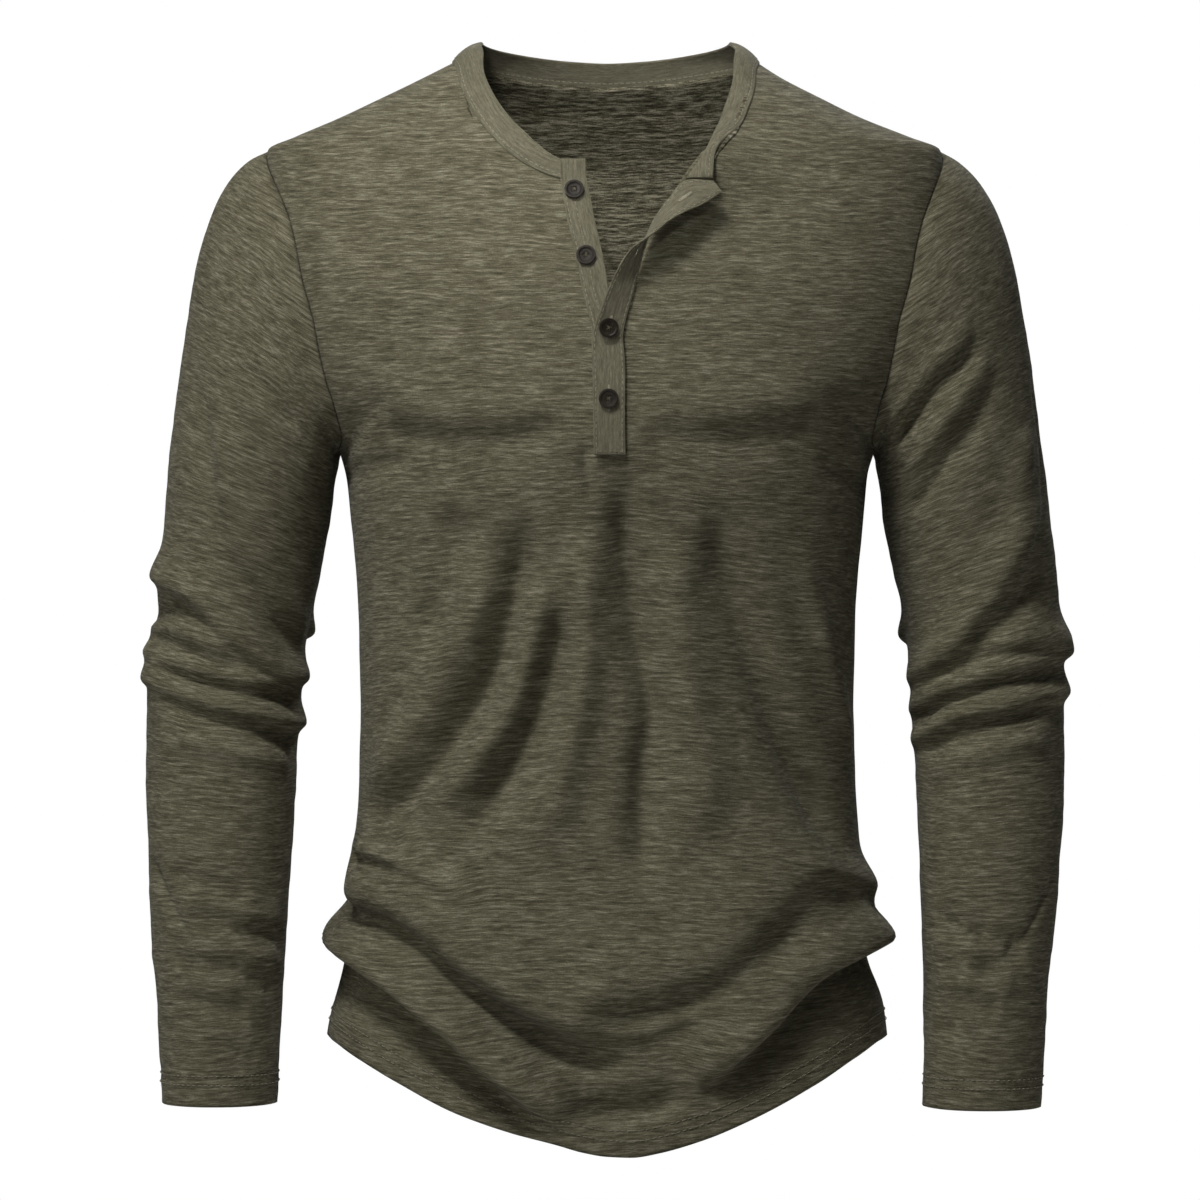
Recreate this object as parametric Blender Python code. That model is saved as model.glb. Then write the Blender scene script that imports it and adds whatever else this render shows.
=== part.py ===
"""Henley shirt as worn: front, back, two sleeves, neckband, button stand, placket and four buttons."""

import math

import bmesh
import bpy
import numpy as np

MM = 0.001

# Cloth and trim, mm. The origin lies midway between the two neck points, on the shoulders.
PANEL_WALL = 1.5
SLEEVE_WALL = 1.5
BAND_WALL = 1.8
STAND_WALL = 1.1
PLACKET_WALL = 1.2
SEAM_GAP = 0.3
LAYER_GAP = 0.35
TURNED_GAP = 0.6
UNDERARM_CLEAR = (1.0, 2.0, 1.5)
BAND_INSET = 0.54
BAND_SEAT = 0.81

# Heights that several pieces share, mm.
SLIT_FOOT = -262.0
SHOULDER_TIP = -60.0
NECK_END_LEFT = -74.5
STAND_BEND = -86.4
SLEEVE_LENGTH = 530.0

# How square the sections are, how far the button stand's tab leans, and mm of cloth per degree.
BODY_POWER = 2.4
SLEEVE_POWER = 2.15
TAB_LEAN = 0.12
MM_PER_DEGREE = 2.5
CHEST_MM_PER_DEGREE = 2.0
SLEEVE_MM_PER_DEGREE = 0.95

# How finely the faceted cloth is divided.
LOW_ROWS = 11
MID_ROWS = 9
TOP_ROWS = 9
TOP_CROWDING = 1.5
NECK_SHARE = 0.47
ARMPIT_SHARE = 0.66
FOLD_ZONE_SHARE = 0.33
NECK_SHARES = (0.0, 0.115, 0.29, 0.48, 0.67, 0.85, 1.0)
OUTER_COLUMNS = 5

# Buttons, mm.
BUTTON_RADIUS = 6.3
BUTTON_THICK = 2.2
BUTTON_WELL = 0.8
BUTTON_RIM = 1.3
BUTTON_EDGE = 0.5
BUTTON_SIDES = 14
HOLE_RADIUS = 0.8
HOLE_OFFSET = 1.5
HOLE_SIDES = 5

# Horizontal sections: height, half-width on the wearer's right and left, depth in front and behind.
SECTIONS = (
    (0, 100.5, 99, 45, 60),
    (-12, 124, 117.5, 54, 68),
    (-25, 150.7, 142.5, 63, 78),
    (-39, 180, 171, 72, 86),
    (-52, 210.2, 203.6, 80, 94),
    (-60, 227, 223, 85, 98),
    (-80, 229, 227, 95, 104),
    (-106, 230, 229, 104, 109),
    (-143, 229, 228, 115, 115),
    (-178, 222, 221, 121, 118),
    (-214, 207, 206, 125, 119),
    (-245, 187, 187, 127, 118),
    (-261, 179, 179, 127, 116),
    (-280, 174, 174, 124, 112),
    (-310, 171, 171, 119, 107),
    (-340, 168, 168, 115, 102),
    (-374, 166, 166, 112, 98),
    (-428, 165, 165, 110, 95),
    (-480, 166, 166, 111, 97),
    (-522, 168, 169, 113, 102),
    (-560, 171, 174, 117, 108),
    (-600, 177, 180, 121, 114),
    (-652, 187, 187, 125, 120),
    (-722, 193, 193, 129, 125),
)

# Armhole: share from the underarm to the shoulder tip, then height and angle, before and behind.
ARMHOLE = (
    (0.0, -261, 90, -261, 90),
    (0.082, -258.5, 82.5, -258.5, 97),
    (0.179, -248, 75, -249, 104),
    (0.286, -226, 70.3, -227, 109),
    (0.44, -185, 69.3, -187, 111),
    (0.58, -147, 71.6, -149, 108.8),
    (0.72, -112, 75.2, -113, 105),
    (0.865, -80, 82, -80, 98.5),
    (1.0, -60, 90, -60, 90),
)

# Hem height by angle from the front centre, on the wearer's right and left.
HEM = (
    (-14, -716.8, -711.5),
    (-7, -719.2, -716),
    (0, -718.6, -718.6),
    (7, -716, -719.2),
    (14, -711.5, -716.8),
    (27, -703.5, -708),
    (40, -692.5, -694.2),
    (55, -673, -673.6),
    (65, -661, -660),
    (75, -652.5, -651.5),
    (83, -650, -650),
    (90, -650, -650),
    (105, -656, -656),
    (125, -675, -675),
    (150, -702, -702),
    (180, -713, -713),
    (210, -702, -702),
)

# Necklines: share from the centre to the neck point, angle, height.
NECK_RIGHT = (
    (0.0, 8.4, -87),
    (0.1, 17.9, -86.3),
    (0.19, 26.2, -80.1),
    (0.29, 34.5, -70.7),
    (0.453, 46.2, -51.5),
    (0.668, 60.9, -24.5),
    (0.846, 75, -5.5),
    (1.0, 90, 0),
)
NECK_LEFT = (
    (0.0, 33.2, -74.5),
    (0.065, 37.6, -71.5),
    (0.21, 45.2, -60.2),
    (0.38, 52.9, -42.9),
    (0.56, 61.7, -25.6),
    (0.8, 75, -6.5),
    (1.0, 90, 0),
)
NECK_BACK = (
    (0.0, 180, -10),
    (0.25, 151, -8),
    (0.5, 128, -4.5),
    (0.75, 108, -1.5),
    (1.0, 90, 0),
)

# Front opening: share above the foot of the slit, then sideways place and height of each cloth edge.
EDGE_RIGHT = (
    (0.0, -0.5, -262),
    (0.35, -0.5, -200),
    (0.5, -0.9, -172),
    (0.6, -1.8, -157),
    (0.72, -4.9, -138),
    (0.86, -10.4, -112.6),
    (1.0, -14.5, -87),
)
EDGE_LEFT = (
    (0.0, 0.5, -262),
    (0.28, 1.2, -204),
    (0.36, 4, -189),
    (0.47, 13.5, -166),
    (0.55, 19.5, -149),
    (0.64, 25.5, -131.5),
    (0.73, 31.5, -116.5),
    (0.82, 42, -100),
    (0.92, 53, -84.5),
    (1.0, 61, -74.5),
)
# How far the folded-back left edge stands off the chest, by height, and how fast that fades.
EDGE_LIFT = (
    (-262, 0),
    (-204, 0.3),
    (-189, 0.8),
    (-166, 1.5),
    (-149, 2),
    (-131, 3),
    (-116, 5.5),
    (-100, 9),
    (-84, 13),
    (-74, 12),
)
LIFT_FADE = 30.0

# Button stand: height, left and right edge.
STAND = (
    (-74, -30.6, -14.2),
    (-86, -30.4, -13.6),
    (-99, -28.5, -11),
    (-112, -26.5, -8.6),
    (-133, -21.5, -3.9),
    (-161, -16, 1),
    (-184, -10.4, 3.4),
    (-204, -8, 5),
    (-235, -7, 8),
    (-258, -6.5, 9),
)
# Placket: its sewn edge, then its free edge, each as x, y, z. It lies flat below and turns over above.
PLACKET = (
    ((11.8, -129.2, -267.3), (-8.6, -129.2, -267.3)),
    ((11.5, -129.9, -250.0), (-9.0, -129.9, -250.0)),
    ((11.5, -129.3, -228.0), (-9.3, -129.3, -228.0)),
    ((11.4, -127.2, -204.2), (-9.8, -127.2, -204.2)),
    ((10.2, -125.7, -189.8), (-9.9, -126.7, -190.6)),
    ((13.3, -123.9, -175.0), (-6.2, -129.4, -178.3)),
    ((16.4, -122.6, -164.5), (-2.3, -131.6, -167.7)),
    ((20.2, -120.4, -148.9), (3.6, -131.9, -153.8)),
    ((24.6, -118.6, -131.3), (15.2, -135.6, -135.3)),
    ((29.2, -117.6, -116.5), (29.3, -136.0, -125.5)),
    ((35.3, -117.4, -106.8), (39.4, -134.4, -117.2)),
    ((40.9, -117.3, -99.7), (48.1, -130.4, -112.0)),
    ((49.2, -116.4, -90.2), (62.4, -121.6, -105.1)),
    ((68.4, -115.6, -89.6), (74.2, -118.6, -97.2)),
)
# Neckband, wearer's right front: neckline share, then the step from its sewn edge to its top edge.
BAND_RIGHT = (
    (0.115, 0.6, 2.0, 12.6),
    (0.19, 4.5, 2.4, 13.6),
    (0.29, 8.6, 3.0, 14.4),
    (0.453, 11.8, 4.4, 12.4),
    (0.668, 14.0, 4.6, 10.6),
    (0.846, 17.6, 2.0, 11.0),
    (1.0, 20.0, 0.0, 12.2),
)
BAND_BACK = (
    (0.85, 15.4, -4.0, 14.4),
    (0.7, 10.0, -5.2, 14.8),
    (0.5, 5.2, -5.6, 15.0),
    (0.25, 2.0, -4.6, 15.4),
    (0.0, 0.0, -4.4, 15.4),
)
BAND_LEFT = (
    (1.0, -18.0, 0.0, 11.4),
    (0.8, -13.6, 1.4, 9.4),
    (0.56, -13.6, 4.6, 6.4),
    (0.38, -14.4, 4.6, 3.4),
    (0.21, -11.4, 3.4, 3.4),
)
# The wearer's left end of the neckband turns over with the placket: sewn edge, top edge.
BAND_TURN = (
    ((71.2, -100.5, -67.2), (68.2, -92.0, -58.6)),
    ((62.6, -107.4, -68.8), (68.2, -98.4, -66.2)),
    ((56.8, -111.4, -76.6), (68.4, -105.4, -75.4)),
    ((50.6, -115.2, -87.6), (68.3, -113.4, -87.2)),
)

# Largest folds of the body: height, width above and below, sag, then angle and height along each.
BODY_FOLDS = (
    (12, 18, 13, 5, ((-112, -562), (-90, -578), (-64, -595), (-44, -628), (-22, -674), (-8, -698))),
    (-8, 12, 9, 0, ((-100, -560), (-83, -566), (-62, -573), (-44, -599), (-23, -637), (4, -657), (18, -655))),
    (9, 20, 13, 4, ((-84, -551), (-44, -582), (-20, -619), (10, -627), (40, -602), (62, -574), (100, -556))),
    (-9, 12, 13, 0, ((100, -590), (82, -596), (61, -606), (45, -634), (29, -668), (20, -690))),
    (10, 14, 10, 3, ((118, -572), (84, -578), (66, -583), (50, -608), (36, -640), (24, -668))),
    (7, 12, 9, 3, ((-84, -526), (-66, -530), (-50, -540))),
    (-8, 14, 14, 0, ((-25, -320), (-32, -380), (-38, -418), (-48, -455), (-60, -490), (-75, -514))),
    (-8, 13, 13, 0, ((4, -290), (6, -340), (9, -384), (14, -432), (11, -480), (10, -535))),
    (6, 15, 15, 0, ((-7, -320), (-9, -400), (-13, -450), (-24, -520))),
    (-7, 13, 13, 0, ((34, -310), (38, -358), (45, -408), (51, -443), (58, -477), (65, -512))),
    (6, 16, 12, 3, ((58, -506), (68, -536), (86, -546), (110, -540))),
    (9, 18, 11, 4, ((122, -568), (140, -598), (165, -624), (190, -630), (215, -608), (240, -574))),
    (-7, 12, 10, 0, ((126, -594), (145, -624), (170, -652), (192, -654), (218, -630), (236, -598))),
    (-6, 14, 14, 0, ((150, -330), (153, -400), (158, -470), (150, -530))),
    (-6, 14, 14, 0, ((206, -310), (204, -390), (199, -460), (206, -530))),
)

# Sleeve sections: outer x, z, inner x, z, centre depth, half-depth, with x away from the middle.
SLEEVE_RIGHT = (
    (227, -60, 179, -261, 0, 74),
    (239, -66, 182, -261.5, 0, 75),
    (252, -79, 183, -262.5, 1, 75),
    (263, -99, 183.5, -264, 2, 74),
    (272, -127, 183.5, -267, 3, 72.5),
    (278, -160, 183.5, -272, 4, 71),
    (283, -194, 184, -279, 5, 69),
    (288, -228, 185, -290, 6, 67),
    (292, -262, 187, -306, 7, 65),
    (295, -300, 190.5, -325, 8, 62.5),
    (298, -333, 194.5, -346, 8, 60.5),
    (301, -366, 200.5, -372, 7, 59),
    (305, -396, 204.5, -397, 5, 58),
    (306.5, -427, 206.5, -427, 2, 56),
    (307, -461, 208, -461, -3, 54),
    (306, -500, 210, -500, -10, 52),
    (304, -540, 212.5, -540, -18, 49.5),
    (301.5, -580, 214, -580, -26, 47),
    (298, -619, 216, -619, -33, 44.5),
    (295, -658, 218, -658, -39, 42.5),
    (292.5, -691.5, 219.5, -691.5, -44, 41),
)
SLEEVE_LEFT = (
    (223, -60, 179, -261, 0, 74),
    (235, -67, 182, -261.5, 0, 75),
    (249, -81, 183, -262.5, 1, 75),
    (260.5, -101, 183, -264, 2, 74),
    (269, -127, 183, -267, 3, 72.5),
    (275.5, -160, 183, -272, 4, 71),
    (281.5, -194, 183.5, -279, 5, 69),
    (286.7, -228, 185, -290, 6, 67),
    (291, -262, 186.5, -306, 7, 65),
    (295.5, -300, 190.5, -325, 8, 62.5),
    (299.5, -333, 195, -346, 8, 60.5),
    (302.5, -366, 201, -372, 7, 59),
    (304, -396, 204, -397, 5, 58),
    (304.5, -427, 205.5, -427, 2, 56),
    (304.5, -461, 207, -461, -3, 54),
    (303, -500, 208.5, -500, -10, 52),
    (300, -540, 209.5, -540, -18, 49.5),
    (296, -580, 210.5, -580, -26, 47),
    (291, -619, 211, -619, -33, 44.5),
    (287.5, -658, 210.5, -658, -39, 42.5),
    (284.5, -694, 210, -694, -44, 41),
)
# Share of the sleeve over which its armhole edge fades into plain sections.
CAP_FADE = 0.3

# Largest sleeve folds: height, width above and below, sag, then angle and distance share along each.
RIGHT_SLEEVE_FOLDS = (
    (7, 12, 8, 3, ((-30, 0.36), (6, 0.362), (58, 0.376), (90, 0.427), (120, 0.46), (220, 0.47))),
    (-6, 8, 8, 0, ((-10, 0.408), (48, 0.406), (92, 0.438), (144, 0.485))),
    (-6, 8, 8, 0, ((36, 0.465), (74, 0.485), (98, 0.497), (126, 0.505), (184, 0.517))),
    (7, 10, 8, 3, ((-20, 0.484), (52, 0.492), (106, 0.519), (158, 0.535), (215, 0.53))),
    (-5, 9, 9, 0, ((36, 0.514), (78, 0.526), (118, 0.547), (172, 0.565))),
    (-5, 10, 10, 0, ((44, 0.15), (64, 0.247), (80, 0.32), (108, 0.385), (172, 0.463))),
)
LEFT_SLEEVE_FOLDS = (
    (7, 12, 9, 3, ((20, 0.27), (58, 0.323), (90, 0.385), (124, 0.443), (162, 0.478), (196, 0.48))),
    (-6, 8, 8, 0, ((20, 0.452), (84, 0.455), (132, 0.475), (164, 0.49))),
    (6, 10, 8, 3, ((-22, 0.452), (54, 0.457), (90, 0.473), (128, 0.495), (162, 0.517), (200, 0.52))),
    (-6, 8, 8, 0, ((10, 0.477), (56, 0.482), (116, 0.505), (150, 0.524), (180, 0.533))),
    (6, 9, 8, 2, ((-18, 0.49), (40, 0.5), (118, 0.524), (160, 0.553), (196, 0.56))),
    (-5, 9, 9, 0, ((50, 0.155), (86, 0.185), (118, 0.23), (140, 0.26))),
)

# Name, sideways place, height, how far the back stands off the front panel, and tilt sideways and down.
BUTTONS = (
    ("button_1", -21.4, -95.0, 1.8, 0, 0),
    ("button_2", -13.7, -138.3, 1.8, 0, 0),
    ("button_3", 0.8, -186.4, 6.0, 0.16, 0.2),
    ("button_4", 0.8, -231.4, 4.0, 0, 0),
)


def unit(v):
    v = np.asarray(v, float)
    return v / np.linalg.norm(v, axis=-1, keepdims=True)


def smooth(at, table, column):
    """Monotone cubic through one column of a table whose first column is the position."""
    rows = sorted((row[0], row[column]) for row in table)
    place = np.array([row[0] for row in rows], float)
    value = np.array([row[1] for row in rows], float)
    gap = np.diff(place)
    rise = np.diff(value) / gap
    slope = np.zeros(len(place))
    same = rise[:-1] * rise[1:] > 0
    first, last = gap[:-1] + 2 * gap[1:], 2 * gap[:-1] + gap[1:]
    with np.errstate(divide="ignore", invalid="ignore"):
        middle = (first + last) / (last / rise[:-1] + first / rise[1:])
    slope[1:-1] = np.where(same, middle, 0)
    slope[0], slope[-1] = rise[0], rise[-1]
    at = np.clip(np.asarray(at, float), place[0], place[-1])
    cell = np.clip(np.searchsorted(place, at, side="right") - 1, 0, len(gap) - 1)
    t = (at - place[cell]) / gap[cell]
    width = gap[cell]
    return (
        (1 + 2 * t) * (1 - t) ** 2 * value[cell]
        + t * (1 - t) ** 2 * width * slope[cell]
        + t**2 * (3 - 2 * t) * value[cell + 1]
        + t**2 * (t - 1) * width * slope[cell + 1]
    )


def through(points, count):
    """Evenly spread points on a smooth curve through the given ones."""
    points = np.array(points, float)
    run = np.concatenate([[0], np.cumsum(np.linalg.norm(np.diff(points, axis=0), axis=1))])
    fine = np.linspace(0, run[-1], count)
    columns = []
    for axis in range(points.shape[1]):
        slope = np.gradient(points[:, axis], run)
        cell = np.clip(np.searchsorted(run, fine, side="right") - 1, 0, len(run) - 2)
        width = run[cell + 1] - run[cell]
        t = (fine - run[cell]) / width
        columns.append(
            (1 + 2 * t) * (1 - t) ** 2 * points[cell, axis]
            + t * (1 - t) ** 2 * width * slope[cell]
            + t**2 * (3 - 2 * t) * points[cell + 1, axis]
            + t**2 * (t - 1) * width * slope[cell + 1]
        )
    return np.stack(columns, axis=1)


def fold_push(across, along, folds, wrap=None):
    """Outward push and downward sag of all the folds at places given in mm across and along the cloth."""
    push = np.zeros(np.shape(across))
    sag = np.zeros(np.shape(across))
    for height, above, below, droop, path in folds:
        line = through(path, 24)
        for turn in (-1, 0, 1) if wrap else (0,):
            shifted = line + np.array([turn * (wrap or 0), 0])
            nearest = np.full(np.shape(across), 1e9)
            side = np.zeros(np.shape(across))
            share = np.zeros(np.shape(across))
            for i in range(len(shifted) - 1):
                a, b = shifted[i], shifted[i + 1]
                step = b - a
                length = max(step @ step, 1e-9)
                t = np.clip(((across - a[0]) * step[0] + (along - a[1]) * step[1]) / length, 0, 1)
                dx, dz = across - a[0] - t * step[0], along - a[1] - t * step[1]
                distance = np.hypot(dx, dz)
                closer = distance < nearest
                nearest = np.where(closer, distance, nearest)
                side = np.where(closer, dz, side)
                share = np.where(closer, (i + t) / (len(shifted) - 1), share)
            width = np.where(side > 0, above, below)
            ends = np.clip(np.minimum(share, 1 - share) / 0.25, 0, 1)
            shape = np.exp(-((nearest / width) ** 2)) * (0.25 + 0.75 * ends * (2 - ends))
            shape *= np.where((share <= 0) | (share >= 1), np.exp(-nearest / above), 1)
            push += height * shape
            sag += droop * shape
    return push, sag


def section(angle, z):
    """Body surface before folding. Angles run from the front centre, positive to the wearer's left."""
    turn = np.radians(angle)
    across, ahead = np.sin(turn), np.cos(turn)
    wide = np.where(across < 0, smooth(z, SECTIONS, 1), smooth(z, SECTIONS, 2))
    deep = np.where(ahead > 0, smooth(z, SECTIONS, 3), smooth(z, SECTIONS, 4))
    reach = (np.abs(across) / wide) ** BODY_POWER + (np.abs(ahead) / deep) ** BODY_POWER
    reach = reach ** (-1 / BODY_POWER)
    return reach * across, -reach * ahead


def arcs(z, side, behind):
    """Angles and arc lengths from the centre line to the side, one row for each height."""
    turn = np.linspace(0, 90, 46)
    angle = side * (180 - turn if behind else turn)
    x, y = section(angle[None, :], np.asarray(z, float)[:, None])
    run = np.concatenate(
        [np.zeros((len(x), 1)), np.cumsum(np.hypot(np.diff(x), np.diff(y)), axis=1)], axis=1
    )
    return angle, run


def arc_at(angle, z, side, behind):
    angles, run = arcs(z, side, behind)
    order = np.argsort(angles)
    return np.array([np.interp(a, angles[order], row[order]) for a, row in zip(angle, run)])


def angle_at(arc, z, side, behind):
    angles, run = arcs(z, side, behind)
    return np.array([np.interp(s, row, angles) for s, row in zip(arc, run)])


def angle_of_x(x, z):
    """Angle of the front surface at a sideways place."""
    wide = np.where(np.asarray(x) < 0, smooth(z, SECTIONS, 1), smooth(z, SECTIONS, 2))
    deep = smooth(z, SECTIONS, 3)
    ahead = deep * (1 - (np.abs(x) / wide) ** BODY_POWER) ** (1 / BODY_POWER)
    return np.degrees(np.arctan2(x, ahead))


def lift_of(angle, z):
    """How far the turned-back left front stands off the chest."""
    edge_z = np.clip(z, SLIT_FOOT, NECK_END_LEFT)
    share = np.interp(edge_z, [row[2] for row in EDGE_LEFT], [row[0] for row in EDGE_LEFT])
    edge = angle_of_x(smooth(share, EDGE_LEFT, 1), edge_z)
    away = np.maximum(angle - edge, 0) * CHEST_MM_PER_DEGREE
    above = np.maximum(z - NECK_END_LEFT, 0)
    fade = np.exp(-((away / LIFT_FADE) ** 2) - (above / LIFT_FADE) ** 2)
    return np.where(angle > 0.2, smooth(edge_z, EDGE_LIFT, 1) * fade, 0)


def body(angle, z):
    """Folded body surface and its outward normal."""
    angle, z = np.asarray(angle, float), np.asarray(z, float)

    def plain(a, h):
        x, y = section(a, h)
        return np.stack([x, y, h], axis=-1)

    def tidy(a, h):
        step_a, step_z = 0.5, 1.0
        wide = plain(a + step_a, h) - plain(a - step_a, h)
        tall = plain(a, np.minimum(h + step_z, 0)) - plain(a, h - step_z)
        normal = np.cross(wide, tall)
        return normal / np.linalg.norm(normal, axis=-1, keepdims=True)

    def folded(a, h):
        push, sag = fold_push(a * MM_PER_DEGREE, h, BODY_FOLDS_MM, 360 * MM_PER_DEGREE)
        push = push + lift_of(a, h)
        return plain(a, h) + tidy(a, h) * push[..., None] - sag[..., None] * np.array([0, 0, 1.0])

    step_a, step_z = 1.0, 2.5
    wide = folded(angle + step_a, z) - folded(angle - step_a, z)
    tall = folded(angle, np.minimum(z + step_z, 0)) - folded(angle, z - step_z)
    normal = np.cross(wide, tall)
    return folded(angle, z), normal / np.linalg.norm(normal, axis=-1, keepdims=True)


BODY_FOLDS_MM = tuple(
    (high, above, below, sag, tuple((a * MM_PER_DEGREE, z) for a, z in path))
    for high, above, below, sag, path in BODY_FOLDS
)


def between(foot, top, middle, edge, up, out):
    """Flat grid filled in between four boundary lines."""
    foot, top = foot.copy(), top.copy()
    foot[0], foot[-1], top[0], top[-1] = middle[0], edge[0], middle[-1], edge[-1]
    v, u = up[:, None, None], out[None, :, None]
    flat = (1 - v) * foot[None] + v * top[None] + (1 - u) * middle[:, None] + u * edge[:, None]
    corners = (1 - v) * (1 - u) * foot[0] + (1 - v) * u * foot[-1] + v * (1 - u) * top[0] + v * u * top[-1]
    return flat - corners


def patch(side, behind, rows, columns):
    """Angle and height at each crossing of one half of a body panel, rows up and columns outwards."""
    up, out = np.asarray(rows, float), np.asarray(columns, float)
    hole = (up - ARMPIT_SHARE) / (1 - ARMPIT_SHARE)
    column = 3 if behind else 1
    hem_column = 1 if side < 0 else 2
    side_foot, underarm = smooth([90], HEM, hem_column)[0], smooth([0], ARMHOLE, 1)[0]
    side_z = np.where(
        hole > 0,
        smooth(hole, ARMHOLE, column),
        side_foot + (underarm - side_foot) * up / ARMPIT_SHARE,
    )
    side_angle = np.where(hole > 0, smooth(hole, ARMHOLE, column + 1), 90)
    neck = NECK_BACK if behind else NECK_RIGHT if side < 0 else NECK_LEFT
    share = out / NECK_SHARE
    tip = (out - NECK_SHARE) / (1 - NECK_SHARE)
    top_z = np.where(share < 1, smooth(share, neck, 2), SHOULDER_TIP * np.maximum(tip, 0))
    top_angle = np.where(share < 1, smooth(share, neck, 1), 90)
    foot_angle = out * 90.0
    if behind:
        foot_angle = 180 - foot_angle
    foot_z = smooth(foot_angle, HEM, hem_column)
    if behind:
        middle_z = foot_z[0] + (SLIT_FOOT - foot_z[0]) * np.minimum(up / ARMPIT_SHARE, 1)
        nape = smooth([0], neck, 2)[0]
        middle_z = np.where(hole > 0, SLIT_FOOT + (nape - SLIT_FOOT) * hole, middle_z)
        middle_angle = np.full(len(up), 180.0)
    else:
        edge = EDGE_RIGHT if side < 0 else EDGE_LEFT
        middle_z = foot_z[0] + (SLIT_FOOT - foot_z[0]) * np.minimum(up / ARMPIT_SHARE, 1)
        middle_z = np.where(hole > 0, smooth(hole, edge, 2), middle_z)
        middle_x = np.where(hole > 0, smooth(hole, edge, 1), 0)
        middle_angle = np.abs(angle_of_x(middle_x, middle_z))

    def run(angle, z):
        signed = side * np.asarray(angle)
        return np.stack([arc_at(signed, z, side, behind), z], axis=-1)

    foot, top = run(foot_angle, foot_z), run(top_angle, top_z)
    middle, edge_line = run(middle_angle, middle_z), run(side_angle, side_z)
    waist = int(np.argmin(np.abs(up - ARMPIT_SHARE)))
    chest = middle[waist] + (edge_line[waist] - middle[waist]) * out[:, None]
    low, high = slice(None, waist + 1), slice(waist, None)
    lower = between(foot, chest, middle[low], edge_line[low], up[low] / ARMPIT_SHARE, out)
    upper = between(chest, top, middle[high], edge_line[high], hole[high], out)
    flat = np.concatenate([lower, upper[1:]])
    z = flat[..., 1].ravel()
    angle = angle_at(flat[..., 0].ravel(), z, side, behind).reshape(flat.shape[:2])
    if behind and side < 0:
        angle = angle + 360
    return angle, flat[..., 1]


def spread(*parts):
    """Shares from 0 to 1 in zones, each given as its end and its number of steps."""
    out, start = [0.0], 0.0
    for end, count in parts:
        out += [start + (end - start) * (i + 1) / count for i in range(count)]
        start = end
    return np.array(out)


def grid_quads(rows, columns, first=0, wrap=False):
    quads = []
    for i in range(rows - 1):
        for j in range(columns if wrap else columns - 1):
            k = (j + 1) % columns
            near, far = first + i * columns, first + (i + 1) * columns
            quads.append((near + j, near + k, far + k, far + j))
    return quads


def make_object(name, points, faces, colour, roughness=0.9):
    mesh = bpy.data.meshes.new(name)
    mesh.from_pydata([tuple(p) for p in np.asarray(points) * MM], [], faces)
    work = bmesh.new()
    work.from_mesh(mesh)
    bmesh.ops.recalc_face_normals(work, faces=work.faces)
    if work.calc_volume(signed=True) < 0:
        bmesh.ops.reverse_faces(work, faces=work.faces)
    work.to_mesh(mesh)
    work.free()
    material = bpy.data.materials.new(name + "_material")
    material.use_nodes = True
    surface = material.node_tree.nodes["Principled BSDF"]
    surface.inputs["Base Color"].default_value = (*colour, 1)
    surface.inputs["Roughness"].default_value = roughness
    mesh.materials.append(material)
    thing = bpy.data.objects.new(name, mesh)
    bpy.context.scene.collection.objects.link(thing)
    return thing


def shell(name, outer, inner, quads, colour):
    """Closed wall between two copies of the same sheet."""
    count = len(outer)
    uses = {}
    for quad in quads:
        for a, b in zip(quad, quad[1:] + quad[:1]):
            uses[(a, b)] = True
    faces = list(quads) + [tuple(count + i for i in reversed(quad)) for quad in quads]
    for a, b in uses:
        if (b, a) not in uses:
            faces.append((b, a, count + a, count + b))
    thing = make_object(name, np.concatenate([outer, inner]), faces, colour)
    for polygon in thing.data.polygons:
        polygon.use_smooth = True
    return thing


def top_shares():
    """Shares from underarm to shoulder, closer together towards the shoulder."""
    return 1 - (1 - np.arange(TOP_ROWS + 1) / TOP_ROWS) ** TOP_CROWDING


def rows_of_body():
    lower = spread((FOLD_ZONE_SHARE, LOW_ROWS), (ARMPIT_SHARE, MID_ROWS))
    return np.concatenate([lower, ARMPIT_SHARE + (1 - ARMPIT_SHARE) * top_shares()[1:]])


def columns_of_body():
    outer = NECK_SHARE + (1 - NECK_SHARE) * np.arange(1, OUTER_COLUMNS + 1) / OUTER_COLUMNS
    return np.concatenate([np.array(NECK_SHARES) * NECK_SHARE, outer])


def trimmed(points):
    """The sheet with its side, armhole and shoulder edges drawn in by the seam gap."""
    points = points.copy()
    points[:, -1] += SEAM_GAP * unit(points[:, -2] - points[:, -1])
    shoulder = slice(len(NECK_SHARES) - 1, points.shape[1])
    points[-1, shoulder] += SEAM_GAP * unit(points[-2, shoulder] - points[-1, shoulder])
    points[LOW_ROWS + MID_ROWS, -1, 2] -= SEAM_GAP
    return points


def front_panel(colour):
    """Two halves that share their centre line below the slit."""
    rows, columns = rows_of_body(), columns_of_body()
    outer, inner, quads, index = [], [], [], {}
    slit_row = int(np.argmin(np.abs(rows - ARMPIT_SHARE)))
    for side in (-1, 1):
        angle, z = patch(side, False, rows, columns)
        points, normals = body(angle, z)
        points = trimmed(points)
        for i in range(len(rows)):
            for j in range(len(columns)):
                if side > 0 and j == 0 and i <= slit_row:
                    index[side, i, j] = index[-1, i, 0]
                    continue
                index[side, i, j] = len(outer)
                outer.append(points[i, j])
                inner.append(points[i, j] - PANEL_WALL * normals[i, j])
        for i in range(len(rows) - 1):
            for j in range(len(columns) - 1):
                corners = ((i, j), (i, j + 1), (i + 1, j + 1), (i + 1, j))
                quad = [index[(side,) + corner] for corner in corners]
                quads.append(tuple(quad if side > 0 else quad[::-1]))
    return shell("front_panel", np.array(outer), np.array(inner), quads, colour)


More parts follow.
